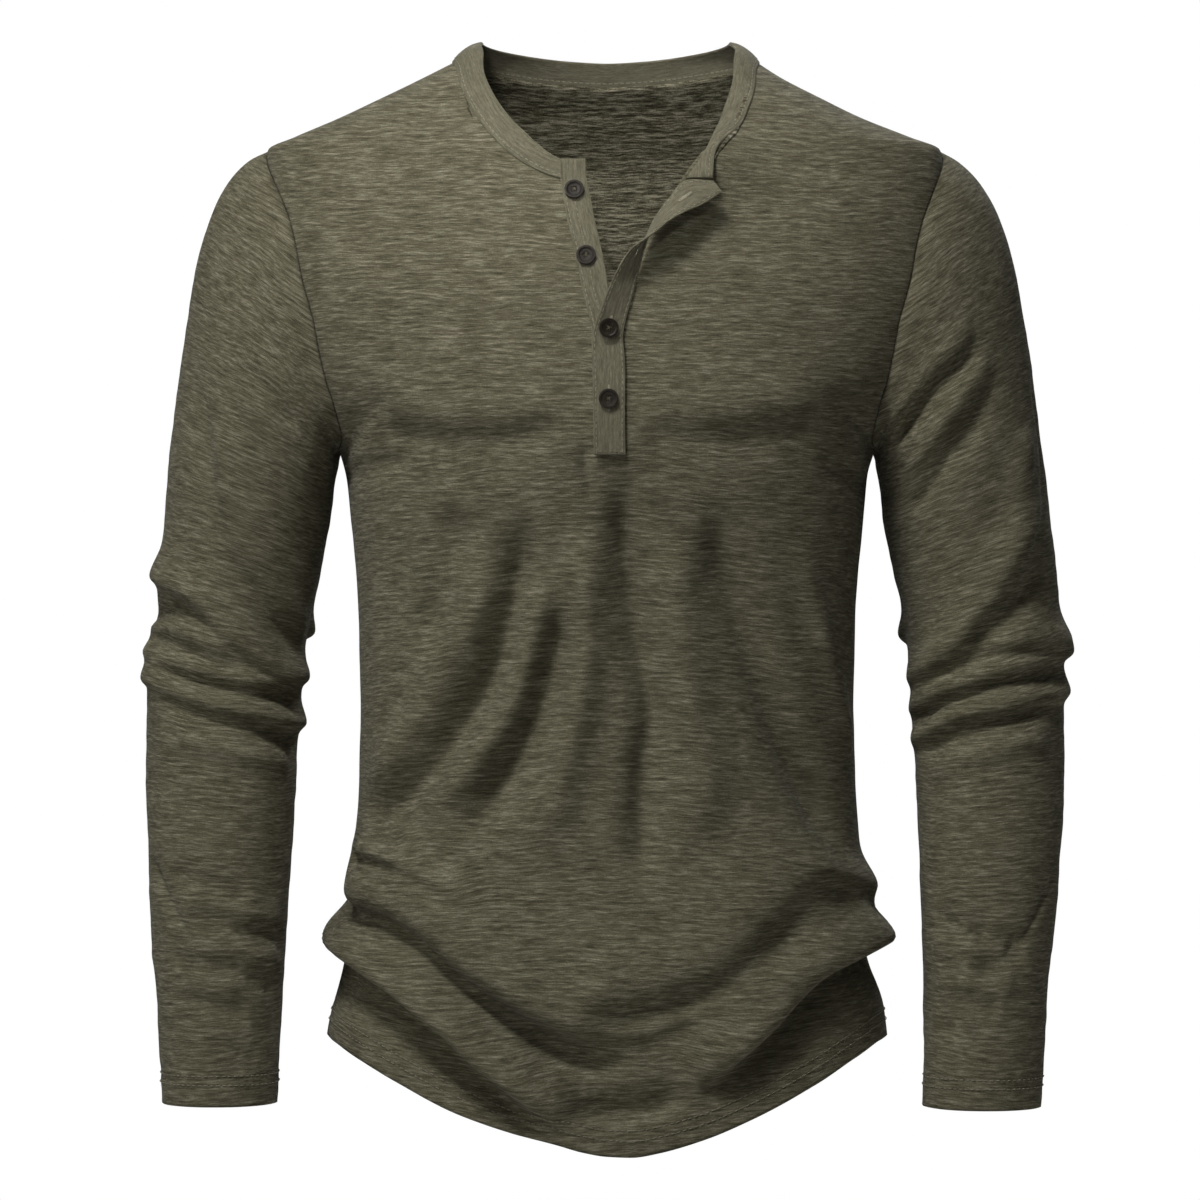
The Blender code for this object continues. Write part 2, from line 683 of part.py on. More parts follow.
def back_panel(colour):
    rows, columns = rows_of_body(), columns_of_body()
    outer, inner, quads, index = [], [], [], {}
    for side in (1, -1):
        angle, z = patch(side, True, rows, columns)
        points, normals = body(angle, z)
        points = trimmed(points)
        for i in range(len(rows)):
            for j in range(len(columns)):
                if side < 0 and j == 0:
                    index[side, i, j] = index[1, i, 0]
                    continue
                index[side, i, j] = len(outer)
                outer.append(points[i, j])
                inner.append(points[i, j] - PANEL_WALL * normals[i, j])
        for i in range(len(rows) - 1):
            for j in range(len(columns) - 1):
                corners = ((i, j), (i, j + 1), (i + 1, j + 1), (i + 1, j))
                quad = [index[(side,) + corner] for corner in corners]
                quads.append(tuple(quad if side < 0 else quad[::-1]))
    return shell("back_panel", np.array(outer), np.array(inner), quads, colour)


def armhole_loop(side):
    """Angle round the sleeve, points and outward normals, from the shoulder tip down the front."""
    share = top_shares()
    share = np.concatenate([share[:0:-1], share[:-1]])
    front = np.arange(len(share)) < TOP_ROWS
    angle = side * np.where(front, smooth(share, ARMHOLE, 2), smooth(share, ARMHOLE, 4))
    points, normals = body(angle, np.where(front, smooth(share, ARMHOLE, 1), smooth(share, ARMHOLE, 3)))
    return np.where(front, 180 * (1 - share), 180 * (1 + share)), points, normals


def sleeve_grid(side, table, folds, along):
    """Rings from armhole to cuff, with outward normals. Angle 0 is the outer side, 90 the front."""
    middle = np.array([((r[0] + r[2]) / 2, (r[1] + r[3]) / 2) for r in table])
    run = np.concatenate([[0], np.cumsum(np.linalg.norm(np.diff(middle, axis=0), axis=1))])
    run /= run[-1]
    rows = tuple((run[i],) + tuple(table[i]) for i in range(len(table)))
    turn, loop, facing = armhole_loop(side)

    def plain(angle, share):
        c, s = np.cos(np.radians(angle)), np.sin(np.radians(angle))
        power = 2 / SLEEVE_POWER
        c, s = np.sign(c) * np.abs(c) ** power, np.sign(s) * np.abs(s) ** power
        ox, oz, ix, iz, y, h = (smooth(share, rows, k) for k in range(1, 7))
        x = side * ((ox + ix) / 2 + (ox - ix) / 2 * c)
        return np.stack([x, y - h * s, (oz + iz) / 2 + (oz - iz) / 2 * c], axis=-1)

    def whole(angle, share):
        gap = loop - plain(turn, np.zeros(len(turn)))
        around, gap = np.append(turn, 360), np.vstack([gap, gap[:1]])
        bridge = np.stack([np.interp(angle % 360, around, gap[:, k]) for k in range(3)], axis=-1)
        fade = np.clip(1 - share / CAP_FADE, 0, 1)[..., None]
        return plain(angle, share) + bridge * fade**2 * (3 - 2 * fade)

    def normal_of(surface, angle, share, step_a, step_s):
        wide = surface(angle + step_a, share) - surface(angle - step_a, share)
        tall = surface(angle, np.minimum(share + step_s, 1)) - surface(angle, np.maximum(share - step_s, 0))
        normal = np.cross(wide, tall) * side
        return normal / np.linalg.norm(normal, axis=-1, keepdims=True)

    wide = SLEEVE_MM_PER_DEGREE
    folds_mm = tuple(
        (high, above, below, sag, tuple((a * wide, -p * SLEEVE_LENGTH) for a, p in path))
        for high, above, below, sag, path in folds
    )

    def folded(angle, share):
        push, sag = fold_push(angle * wide, -share * SLEEVE_LENGTH, folds_mm, 360 * wide)
        keep = np.clip(share / 0.12, 0, 1)
        outward = normal_of(whole, angle, share, 4.0, 0.01)
        moved = whole(angle, share) + outward * (push * keep)[..., None]
        return moved - (sag * keep)[..., None] * np.array([0, 0, 1.0])

    angle, share = np.meshgrid(turn, np.asarray(along, float))
    points = folded(angle, share)
    normals = normal_of(folded, angle, share, 5.0, 0.012)
    weight = (np.clip(1 - share / 0.05, 0, 1) * (0.5 + 0.5 * np.cos(np.radians(angle))))[..., None]
    normals = normals * (1 - weight) + facing[None] * weight
    normals /= np.linalg.norm(normals, axis=-1, keepdims=True)
    return points, normals


def sleeve(name, side, table, folds, colour):
    along = spread((0.12, 3), (0.34, 3), (0.58, 9), (1.0, 3))
    points, normals = sleeve_grid(side, table, folds, along)
    outward = points[1] - points[0]
    outward /= np.linalg.norm(outward, axis=1, keepdims=True)
    points[0] += SEAM_GAP * 1.2 * outward
    below = np.maximum(-np.cos(np.radians(armhole_loop(side)[0])), 0)
    for ring, clear in enumerate(UNDERARM_CLEAR):
        points[ring, :, 0] += side * clear * below
    rows, columns = points.shape[:2]
    quads = grid_quads(rows, columns, wrap=True)
    outer = points.reshape(-1, 3)
    inner = outer - SLEEVE_WALL * normals.reshape(-1, 3)
    return shell(name, outer, inner, quads, colour)


def strip_solid(name, sewn, free, wall, colour, across=3, facing=(0, -1, 0)):
    """Flat strip between two edge curves, thickened both ways about its middle."""
    sewn, free = np.asarray(sewn, float), np.asarray(free, float)
    t = np.linspace(0, 1, across)[None, :, None]
    grid = sewn[:, None] * (1 - t) + free[:, None] * t
    along = np.gradient(grid, axis=0)
    side = np.gradient(grid, axis=1)
    normal = unit(np.cross(along, side))
    if (normal[0, 0] @ np.asarray(facing, float)) < 0:
        normal = -normal
    rows, columns = grid.shape[:2]
    outer = (grid + normal * wall / 2).reshape(-1, 3)
    inner = (grid - normal * wall / 2).reshape(-1, 3)
    return shell(name, outer, inner, grid_quads(rows, columns), colour)


def neckband(colour):
    """Strip that stands on the neckline, from the button stand round the back to the turned-over end."""
    sewn, top = [], []
    quarters = (
        (-1, 1, NECK_RIGHT, BAND_RIGHT, NECK_SHARES[1:], 0),
        (-1, 1, NECK_BACK, BAND_BACK, NECK_SHARES[-2::-1], 0),
        (1, -1, NECK_BACK, BAND_BACK, NECK_SHARES[1:-1], 0),
        (1, 1, NECK_LEFT, BAND_LEFT, NECK_SHARES[:1:-1], TURNED_GAP),
    )
    for side, mirror, neck, band, shares, more in quarters:
        shares = np.array(shares)
        points, normals = body(side * smooth(shares, neck, 1), smooth(shares, neck, 2))
        step = np.stack([smooth(shares, band, k) for k in (1, 2, 3)], axis=1) * (mirror, 1, 1)
        seat = points - normals * BAND_INSET + unit(step) * (SEAM_GAP + more + BAND_SEAT)
        sewn.extend(seat)
        top.extend(points + step)
    for low, high in BAND_TURN:
        sewn.append(np.array(low))
        top.append(np.array(high))
    return strip_solid("neckband", sewn, top, BAND_WALL, colour)


def stand(colour):
    """Strip on the wearer's right front edge that carries the upper buttons."""
    left, right = [], []
    for z, x_left, x_right in STAND:
        for x, edge in ((x_left, left), (x_right, right)):
            height = min(z, STAND_BEND)
            angle = angle_of_x(np.array([x]), np.array([height]))
            points, normals = body(angle, np.array([height]))
            place = points[0] + normals[0] * (LAYER_GAP + STAND_WALL / 2)
            if z > height:
                place = place + np.array([0, (z - height) * TAB_LEAN, z - height])
            edge.append(place)
    return strip_solid("button_stand", through(left, 16), through(right, 16), STAND_WALL, colour)


def placket(colour):
    sewn = [row[0] for row in PLACKET]
    free = [row[1] for row in PLACKET]
    return strip_solid("placket", through(sewn, 30), through(free, 30), PLACKET_WALL, colour)


def button(name, x, z, stack, tilt_x, tilt_z, colour):
    """Turned disc with a raised rim, pierced four times."""
    profile = (
        (0.0, 0.0),
        (BUTTON_RADIUS - BUTTON_EDGE, 0.0),
        (BUTTON_RADIUS, BUTTON_EDGE),
        (BUTTON_RADIUS, BUTTON_THICK - BUTTON_EDGE),
        (BUTTON_RADIUS - BUTTON_EDGE, BUTTON_THICK),
        (BUTTON_RADIUS - BUTTON_RIM, BUTTON_THICK),
        (BUTTON_RADIUS - 2 * BUTTON_RIM, BUTTON_THICK - BUTTON_WELL),
        (0.0, BUTTON_THICK - BUTTON_WELL),
    )
    points, faces, rings = [], [], []
    for radius, height in profile:
        if radius == 0:
            rings.append([len(points)])
            points.append((0, 0, height))
            continue
        rings.append([len(points) + k for k in range(BUTTON_SIDES)])
        for k in range(BUTTON_SIDES):
            turn = 2 * math.pi * k / BUTTON_SIDES
            points.append((radius * math.cos(turn), radius * math.sin(turn), height))
    for low, high in zip(rings, rings[1:]):
        for k in range(BUTTON_SIDES):
            a, b = k, (k + 1) % BUTTON_SIDES
            if len(low) == 1:
                faces.append((low[0], high[b], high[a]))
            elif len(high) == 1:
                faces.append((low[a], low[b], high[0]))
            else:
                faces.append((low[a], low[b], high[b], high[a]))
    disc = make_object(name, points, faces, colour, 0.4)
    for k in range(4):
        turn = math.pi / 4 + k * math.pi / 2
        bpy.ops.mesh.primitive_cylinder_add(
            vertices=HOLE_SIDES,
            radius=HOLE_RADIUS * MM,
            depth=4 * BUTTON_THICK * MM,
            location=(HOLE_OFFSET * math.cos(turn) * MM, HOLE_OFFSET * math.sin(turn) * MM, 0),
        )
        cutter = bpy.context.active_object
        cutter.name = f"{name}_hole_{k}"
        hole = disc.modifiers.new("hole", "BOOLEAN")
        hole.operation = "DIFFERENCE"
        hole.solver = "EXACT"
        hole.object = cutter
        bpy.context.view_layer.objects.active = disc
        bpy.ops.object.modifier_apply(modifier=hole.name)
        bpy.data.objects.remove(cutter)
    height = np.array([z])
    base, normals = body(angle_of_x(np.array([x]), height), height)
    place = base[0] + normals[0] * stack
    facing = unit(normals[0] + np.array([tilt_x, 0, -tilt_z]))
    right = unit(np.cross(np.array([0, 0, 1.0]), facing))
    up = np.cross(facing, right)
    frame = np.stack([right, up, facing], axis=1)
    for vertex in disc.data.vertices:
        local = np.array(vertex.co) / MM
        vertex.co = tuple((place + frame @ local) * MM)
    return disc


def main():
    for thing in list(bpy.data.objects):
        bpy.data.objects.remove(thing)
    cloth = (0.120, 0.108, 0.070)
    trim = (0.135, 0.120, 0.080)
    dark = (0.020, 0.017, 0.012)
    front_panel(cloth)
    back_panel(cloth)
    sleeve("sleeve_right", -1, SLEEVE_RIGHT, RIGHT_SLEEVE_FOLDS, cloth)
    sleeve("sleeve_left", 1, SLEEVE_LEFT, LEFT_SLEEVE_FOLDS, cloth)
    neckband(trim)
    stand(trim)
    placket(trim)
    for row in BUTTONS:
        button(*row, dark)


main()
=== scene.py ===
"""Henley shirt in olive slub jersey, filled out on a hollow worn form."""

import math

import bmesh
import bpy
import numpy as np
from mathutils import Matrix, Vector, noise


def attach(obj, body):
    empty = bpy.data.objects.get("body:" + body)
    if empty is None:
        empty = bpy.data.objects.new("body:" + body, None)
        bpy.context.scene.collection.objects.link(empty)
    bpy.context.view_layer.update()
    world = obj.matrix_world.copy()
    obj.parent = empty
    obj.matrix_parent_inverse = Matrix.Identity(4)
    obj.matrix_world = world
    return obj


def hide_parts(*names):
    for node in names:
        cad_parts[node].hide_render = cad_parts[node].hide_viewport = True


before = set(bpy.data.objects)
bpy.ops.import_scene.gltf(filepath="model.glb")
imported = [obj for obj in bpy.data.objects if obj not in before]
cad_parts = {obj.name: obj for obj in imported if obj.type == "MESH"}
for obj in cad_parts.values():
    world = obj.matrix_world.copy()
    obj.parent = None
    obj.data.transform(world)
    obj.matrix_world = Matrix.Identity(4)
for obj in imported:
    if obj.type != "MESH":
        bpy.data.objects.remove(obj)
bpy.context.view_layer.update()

MM = 0.001
UP = np.array([0, 0, 1.0])

# Cloth, mm. Tables and lengths are in millimetres and turn to metres as each mesh is made.
JERSEY_WALL = 1.0
BAND_WALL = 1.8
STAND_WALL = 1.1
PLACKET_WALL = 1.2
LAYER_GAP = 0.35
BODY_POWER = 2.4
SLEEVE_POWER = 2.15
MM_PER_DEGREE = 2.5
SLEEVE_MM_PER_DEGREE = 0.95
LIFT_MM_PER_DEGREE = 2.0
SLEEVE_LENGTH = 530.0
SLEEVE_STRETCH = 1.18
SLEEVE_EASE = 1.2
CAP_FADE = 0.3
ARMPIT_Z = -261.0
SLIT_Z = -262.0
TIP_Z = -60.0
EDGE_TOP_Z = -74.5
HEM_DEPTH = 20.0
HEM_CALM = 22.0
HEM_STEP = 0.35
ROPE_WIDTH = 4.0
SEAM_DIP = 0.35
SEAM_WIDTH = 1.8
SAME_PLACE = 0.02

# Folds: how far their lines wander, reach, taper and vary, points along each, and what varies the sleeves.
FOLD_WANDER = 2.2
FOLD_REACH = 3.2
FOLD_TAPER = 0.2
FOLD_UNEVEN = 0.22
FOLD_POINTS = 40
FOLD_SEED = 9.0

# Strips: neckband, button stand and placket.
BAND_OVERLAP = 1.0
BAND_LIFT = 0.35
BAND_BOW = 0.5
BAND_SEAM = 3.0
BAND_TURN_SHARE = 0.29
NECK_POINT_BOW = 3.2
NECK_POINT_SPREAD = 42.0
STAND_BEND_Z = -86.4
TAB_LEAN = 0.12
PLACKET_SEAM = 1.9
FOOT_SEAM = 2.2
GROOVE_DEPTH = 0.22
GROOVE_WIDTH = 0.9
UNDERSIDE_UV = 40

# Rows and columns of the cloth grids, and points along lines.
SKIRT_ROWS = 152
CHEST_ROWS = 72
NECK_COLUMNS = 44
SHOULDER_COLUMNS = 52
NECK_SHARE = 0.47
ARMPIT_SHARE = 0.66
SLEEVE_COLUMNS = 148
SLEEVE_ZONES = ((0.12, 30), (0.36, 56), (0.64, 82), (1.0, 68))
WHOLE_TURN = np.linspace(-180, 180, 721)
STRIP_SHARES = 0.5 - 0.5 * np.cos(np.linspace(0, math.pi, 19))
LINE_POINTS = 90
TURN_POINTS = 14
BAND_ROWS = 190
BAND_SOFTENING = 10
STAND_TAB_ROWS = 8
PLACKET_ROWS = 170
PLACKET_SOFTENING = 3
PLACKET_TURN_ROW = 80

# Stitches: share along each, width and height of its rings. Then how deep and how far in the rows lie, mm.
STITCH_RINGS = (
    (0.0, 0.25, -0.25),
    (0.12, 0.85, 0.3),
    (0.5, 1.0, 0.75),
    (0.88, 0.85, 0.3),
    (1.0, 0.25, -0.25),
)
STITCH_SINK = 0.22
HEM_STITCH_LIFT = 0.3
HEM_STITCH_ROWS = (10.5, 17.0)
CUFF_STITCH_ROWS = (14.0, 20.0)

# Buttons and buttonholes, mm.
BUTTON_RADIUS = 6.3
BUTTON_THICK = 2.2
BUTTON_WELL = 0.8
BUTTON_RIM = 1.3
BUTTON_ROUND = 0.32
HOLE_RADIUS = 0.8
HOLE_OFFSET = 1.5
THREAD_REACH = HOLE_OFFSET + 0.35
THREAD_LENGTH = 2 * THREAD_REACH * 0.97
RING_COUNT = 44
RING_SIDES = 8
RING_WIDTH = 0.75
SLIT_RINGS = 17

# Sections of the body: height, half-width on the wearer's right and left, depth in front and behind.
SECTIONS = (
    (0, 100.5, 99, 45, 60),
    (-12, 124, 117.5, 54, 68),
    (-25, 150.7, 142.5, 63, 78),
    (-39, 180, 171, 72, 86),
    (-52, 210.2, 203.6, 80, 94),
    (-60, 227, 223, 85, 98),
    (-80, 229, 227, 95, 104),
    (-106, 230, 229, 104, 109),
    (-143, 229, 228, 115, 115),
    (-178, 222, 221, 121, 118),
    (-214, 207, 206, 125, 119),
    (-245, 187, 187, 127, 118),
    (-261, 179, 179, 127, 116),
    (-280, 174, 174, 124, 112),
    (-310, 171, 171, 119, 107),
    (-340, 168, 168, 115, 102),
    (-374, 166, 166, 112, 98),
    (-428, 165, 165, 110, 95),
    (-480, 166, 166, 111, 97),
    (-522, 168, 169, 113, 102),
    (-560, 171, 174, 117, 108),
    (-600, 177, 180, 121, 114),
    (-652, 187, 187, 125, 120),
    (-722, 193, 193, 129, 125),
)

# How much higher the rows of knitting run at the sides than at the centre, by height.
COURSE_BOW = (
    (-725, 34),
    (-650, 26),
    (-600, 10),
    (-540, -6),
    (-430, -12),
    (-300, -6),
    (-200, 0),
    (0, 6),
)
# Armhole: share from underarm to shoulder tip, then height and angle round the body, before and behind.
ARMHOLE = (
    (0.0, -261, 90, -261, 90),
    (0.082, -258.5, 82.5, -258.5, 97),
    (0.179, -248, 75, -249, 104),
    (0.286, -226, 70.3, -227, 109),
    (0.44, -185, 69.3, -187, 111),
    (0.58, -147, 71.6, -149, 108.8),
    (0.72, -112, 75.2, -113, 105),
    (0.865, -80, 82, -80, 98.5),
    (1.0, -60, 90, -60, 90),
)

# Hem height by angle from the front centre, on the wearer's right and left.
HEM = (
    (-14, -716.8, -711.5),
    (-7, -719.2, -716),
    (0, -718.6, -718.6),
    (7, -716, -719.2),
    (14, -711.5, -716.8),
    (27, -703.5, -708),
    (40, -692.5, -694.2),
    (55, -673, -673.6),
    (65, -661, -660),
    (75, -652.5, -651.5),
    (83, -650, -650),
    (90, -650, -650),
    (105, -656, -656),
    (125, -675, -675),
    (150, -702, -702),
    (180, -713, -713),
    (210, -702, -702),
)

# Necklines: share from the centre to the neck point, angle, height.
NECK_RIGHT = (
    (0.0, 8.4, -87),
    (0.1, 17.9, -86.3),
    (0.19, 26.2, -80.1),
    (0.29, 34.5, -70.7),
    (0.453, 46.2, -51.5),
    (0.668, 60.9, -24.5),
    (0.846, 75, -5.5),
    (1.0, 90, 0),
)
NECK_LEFT = (
    (0.0, 33.2, -74.5),
    (0.065, 37.6, -71.5),
    (0.21, 45.2, -60.2),
    (0.38, 52.9, -42.9),
    (0.56, 61.7, -25.6),
    (0.8, 75, -6.5),
    (1.0, 90, 0),
)
NECK_BACK = (
    (0.0, 180, -10),
    (0.25, 151, -8),
    (0.5, 128, -4.5),
    (0.75, 108, -1.5),
    (1.0, 90, 0),
)

# Front opening: share above the foot of the slit, then sideways place and height of each cloth edge.
EDGE_RIGHT = (
    (0.0, -0.5, -262),
    (0.35, -0.5, -200),
    (0.5, -0.9, -172),
    (0.6, -1.8, -157),
    (0.72, -4.9, -138),
    (0.86, -10.4, -112.6),
    (1.0, -14.5, -87),
)
EDGE_LEFT = (
    (0.0, 0.5, -262),
    (0.28, 1.2, -204),
    (0.36, 4, -189),
    (0.47, 13.5, -166),
    (0.55, 19.5, -149),
    (0.64, 25.5, -131.5),
    (0.73, 31.5, -116.5),
    (0.82, 42, -100),
    (0.92, 53, -84.5),
    (1.0, 61, -74.5),
)
# How far the folded-back left edge stands off the chest, by height, and how fast that fades.
EDGE_LIFT = (
    (-262, 0),
    (-204, 0.3),
    (-189, 0.8),
    (-166, 1.5),
    (-149, 2),
    (-131, 3),
    (-116, 5.5),
    (-100, 9),
    (-84, 13),
    (-74, 12),
)
LIFT_FADE = 30.0

# Button stand: height, left and right edge.
STAND = (
    (-74, -30.6, -14.2),
    (-86, -30.4, -13.6),
    (-99, -28.5, -11),
    (-112, -26.5, -8.6),
    (-133, -21.5, -3.9),
    (-161, -16, 1),
    (-184, -10.4, 3.4),
    (-204, -8, 5),
    (-235, -7, 8),
    (-258, -6.5, 9),
)
# Placket: its sewn edge, then its free edge, each as x, y, z. It lies flat below and turns over above.
PLACKET = (
    ((11.8, -129.2, -267.3), (-8.6, -129.2, -267.3)),
    ((11.5, -129.9, -250.0), (-9.0, -129.9, -250.0)),
    ((11.5, -129.3, -228.0), (-9.3, -129.3, -228.0)),
    ((11.4, -127.2, -204.2), (-9.8, -127.2, -204.2)),
    ((10.2, -125.7, -189.8), (-9.9, -126.7, -190.6)),
    ((13.3, -123.9, -175.0), (-6.2, -129.4, -178.3)),
    ((16.4, -122.6, -164.5), (-2.3, -131.6, -167.7)),
    ((20.2, -120.4, -148.9), (3.6, -131.9, -153.8)),
    ((24.6, -118.6, -131.3), (15.2, -135.6, -135.3)),
    ((29.2, -117.6, -116.5), (29.3, -136.0, -125.5)),
    ((35.3, -117.4, -106.8), (39.4, -134.4, -117.2)),
    ((40.9, -117.3, -99.7), (48.1, -130.4, -112.0)),
    ((49.2, -116.4, -90.2), (62.4, -121.6, -105.1)),
    ((68.4, -115.6, -89.6), (74.2, -118.6, -97.2)),
)
# Neckband, wearer's right front: neckline share, then the step from its sewn edge to its top edge.
BAND_RIGHT = (
    (0.085, -0.6, 2.0, 12.2),
    (0.115, 0.6, 2.0, 12.6),
    (0.19, 4.5, 2.4, 13.6),
    (0.29, 8.6, 3.0, 14.4),
    (0.453, 11.8, 4.4, 12.4),
    (0.668, 14.0, 4.6, 10.6),
    (0.846, 17.6, 2.0, 11.6),
    (1.0, 19.2, 0.0, 11.4),
)
BAND_BACK = (
    (1.0, 18.8, -0.6, 11.2),
    (0.92, 17.2, -2.6, 14.4),
    (0.85, 15.4, -4.0, 15.2),
    (0.7, 10.0, -5.2, 15.0),
    (0.5, 5.2, -5.6, 15.0),
    (0.25, 2.0, -4.6, 15.4),
    (0.0, 0.0, -4.4, 15.4),
)
BAND_LEFT = (
    (1.0, -18.0, 0.0, 10.6),
    (0.8, -13.6, 1.4, 9.4),
    (0.56, -13.6, 4.6, 6.4),
    (0.38, -14.4, 4.6, 3.4),
    (0.21, -11.4, 3.4, 3.4),
)
# The wearer's left end of the neckband turns over with the placket: sewn edge, top edge.
BAND_TURN = (
    ((70.6, -101.5, -67.6), (67.4, -93.0, -59.6)),
    ((69.4, -104.6, -71.4), (64.8, -99.4, -67.4)),
    ((68.8, -109.4, -79.0), (58.6, -107.4, -77.2)),
    ((68.4, -114.0, -88.0), (50.6, -115.4, -88.4)),
)

# Folds of the body: height, width above, width below, sag, sharpness, then angle and height along each.
# A fold lower than the cloth round it is a trough.
BODY_FOLDS = (
    (20, 17, 10, 9, 2, (-150, -548, -112, -562, -90, -578, -78, -584, -64, -595, -54, -608, -44, -627,
     -33, -652, -22, -674, -13, -692, -6, -704, -1, -712)),
    (-19, 7, 15, 0, 1.5, (-96, -600, -82, -603, -66, -614, -54, -630, -43, -651, -33, -674, -23, -696,
     -15, -712)),
    (-15, 8, 9, 0, 1.6, (-112, -556, -88, -564, -74, -567, -61, -573, -52, -583, -44, -599, -33, -619,
     -23, -637, -11, -650, 2, -658, 12, -660)),
    (12, 26, 10, 4, 2, (-104, -546, -84, -551, -64, -556, -53, -566, -44, -581, -31, -604, -20, -619,
     -5, -631, 9, -631, 27, -619, 40, -602, 54, -582, 68, -562)),
    (-7, 6, 7, 0, 1.5, (-84, -528, -76, -530, -68, -532, -58, -538)),
    (6, 12, 7, 3, 2, (-86, -520, -77, -521, -66, -523, -57, -529, -47, -541, -36, -558)),
    (-4, 8, 6, 0, 1.7, (-84, -515, -76, -516, -66, -517, -57, -522)),
    (16, 17, 11, 8, 2, (128, -562, 104, -572, 86, -577, 67, -583, 57, -594, 50, -608, 43, -625, 35, -643,
     27, -661, 18, -680)),
    (-14, 8, 14, 0, 1.6, (104, -592, 84, -596, 62, -604, 54, -618, 47, -634, 40, -651, 32, -667, 24, -684)),
    (7, 13, 9, 2, 2, (112, -545, 90, -547, 69, -541, 60, -532, 52, -517)),
    (-4, 6, 7, 0, 1.6, (104, -561, 86, -563, 76, -562)),
    (10.4, 34, 16, 3, 2, (66, -500, 56, -530, 46, -552, 34, -580, 18, -600, 0, -606, -18, -600)),
    (-11.7, 16, 15, 0, 2, (58, -560, 48, -578, 38, -598, 26, -614, 8, -624, -8, -622)),
    (-9, 12, 10, 0, 1.8, (-16, -686, -4, -690, 10, -688, 24, -678)),
    (-13, 12, 13, 0, 1.8, (-23, -300, -27, -335, -32, -380, -38, -418, -48, -455, -60, -490, -78, -516)),
    (9.1, 15, 15, 0, 2, (-34, -330, -42, -380, -52, -420, -62, -462, -74, -492)),
    (7.8, 13, 13, 0, 2, (-18, -340, -24, -385, -30, -430, -42, -470, -54, -504)),
    (-13, 14, 15, 0, 1.8, (-13, -350, -16, -385, -20, -420, -28, -455, -36, -490, -44, -520)),
    (9.1, 16, 16, 0, 2, (-6, -310, -8, -393, -11, -445, -17, -490, -24, -530)),
    (-13, 12, 14, 0, 1.8, (4, -266, 5, -301, 7, -339, 10, -384, 14, -432, 12, -480, 11, -529, 12, -560)),
    (7.8, 16, 16, 0, 2, (20, -310, 25, -400, 30, -464, 30, -524)),
    (-13, 12, 14, 0, 1.8, (34, -292, 33, -326, 40, -368, 46, -408, 52, -443, 59, -477, 65, -512, 72, -538)),
    (5, 9, 9, 0, 1.8, (54, -320, 62, -375, 69, -420, 78, -470)),
    (-5.2, 14, 14, 0, 2, (-43, -296, -47, -350, -54, -404)),
    (4, 24, 12, 0, 2, (-62, -228, -44, -236, -26, -236, -10, -230)),
    (-5, 10, 20, 0, 1.8, (-62, -250, -44, -259, -29, -259, -12, -250)),
    (3.5, 24, 12, 0, 2, (10, -228, 26, -236, 44, -232, 58, -222)),
    (-4.5, 10, 20, 0, 1.8, (8, -251, 26, -259, 44, -255, 58, -244)),
    (-4, 8, 8, 0, 1.6, (-84, -266, -70, -250, -60, -236, -53, -222)),
    (-3.5, 8, 8, 0, 1.6, (84, -266, 72, -252, 62, -238, 55, -224)),
    (-3, 7, 7, 0, 1.6, (-86, -282, -76, -276, -64, -272, -52, -274)),
    (-3, 7, 7, 0, 1.6, (88, -286, 78, -282, 66, -276, 56, -276)),
    (-3, 4, 4, 0, 1.4, (-5.5, -256, -6.5, -272, -5, -296)),
    (15.5, 20, 11, 6, 2, (104, -572, 122, -578, 140, -600, 165, -624, 190, -630, 215, -608, 240, -574,
     256, -560)),
    (-10.8, 11, 11, 0, 1.6, (112, -592, 126, -598, 145, -624, 170, -652, 192, -654, 218, -632, 236, -598,
     250, -580)),
    (10.8, 16, 10, 4, 2, (100, -540, 118, -548, 140, -572, 160, -594, 182, -598)),
    (9.3, 14, 9, 3, 2, (258, -540, 244, -544, 226, -564, 206, -590, 196, -606)),
    (-7.8, 8, 8, 0, 1.6, (104, -556, 122, -564, 142, -588, 160, -606)),
    (-10.8, 14, 14, 0, 1.8, (150, -300, 153, -400, 158, -470, 150, -540)),
    (-10.8, 14, 14, 0, 1.8, (206, -290, 204, -390, 199, -460, 208, -535)),
    (-10.8, 13, 13, 0, 1.8, (172, -330, 176, -420, 183, -500, 180, -560)),
    (-7.8, 12, 12, 0, 1.8, (126, -320, 122, -400, 116, -460, 104, -505)),
    (-7.8, 12, 12, 0, 1.8, (234, -330, 239, -400, 246, -455, 256, -500)),
    (9.3, 17, 17, 0, 2, (138, -340, 140, -430, 136, -510)),
    (9.3, 17, 17, 0, 2, (220, -330, 222, -420, 226, -500)),
    (-6.2, 22, 26, 0, 2, (122, -236, 150, -262, 180, -268, 210, -262, 238, -236)),
    (-6.2, 9, 9, 0, 1.6, (96, -266, 108, -250, 118, -232, 124, -212)),
    (-6.2, 9, 9, 0, 1.6, (264, -266, 252, -250, 242, -232, 236, -212)),
)

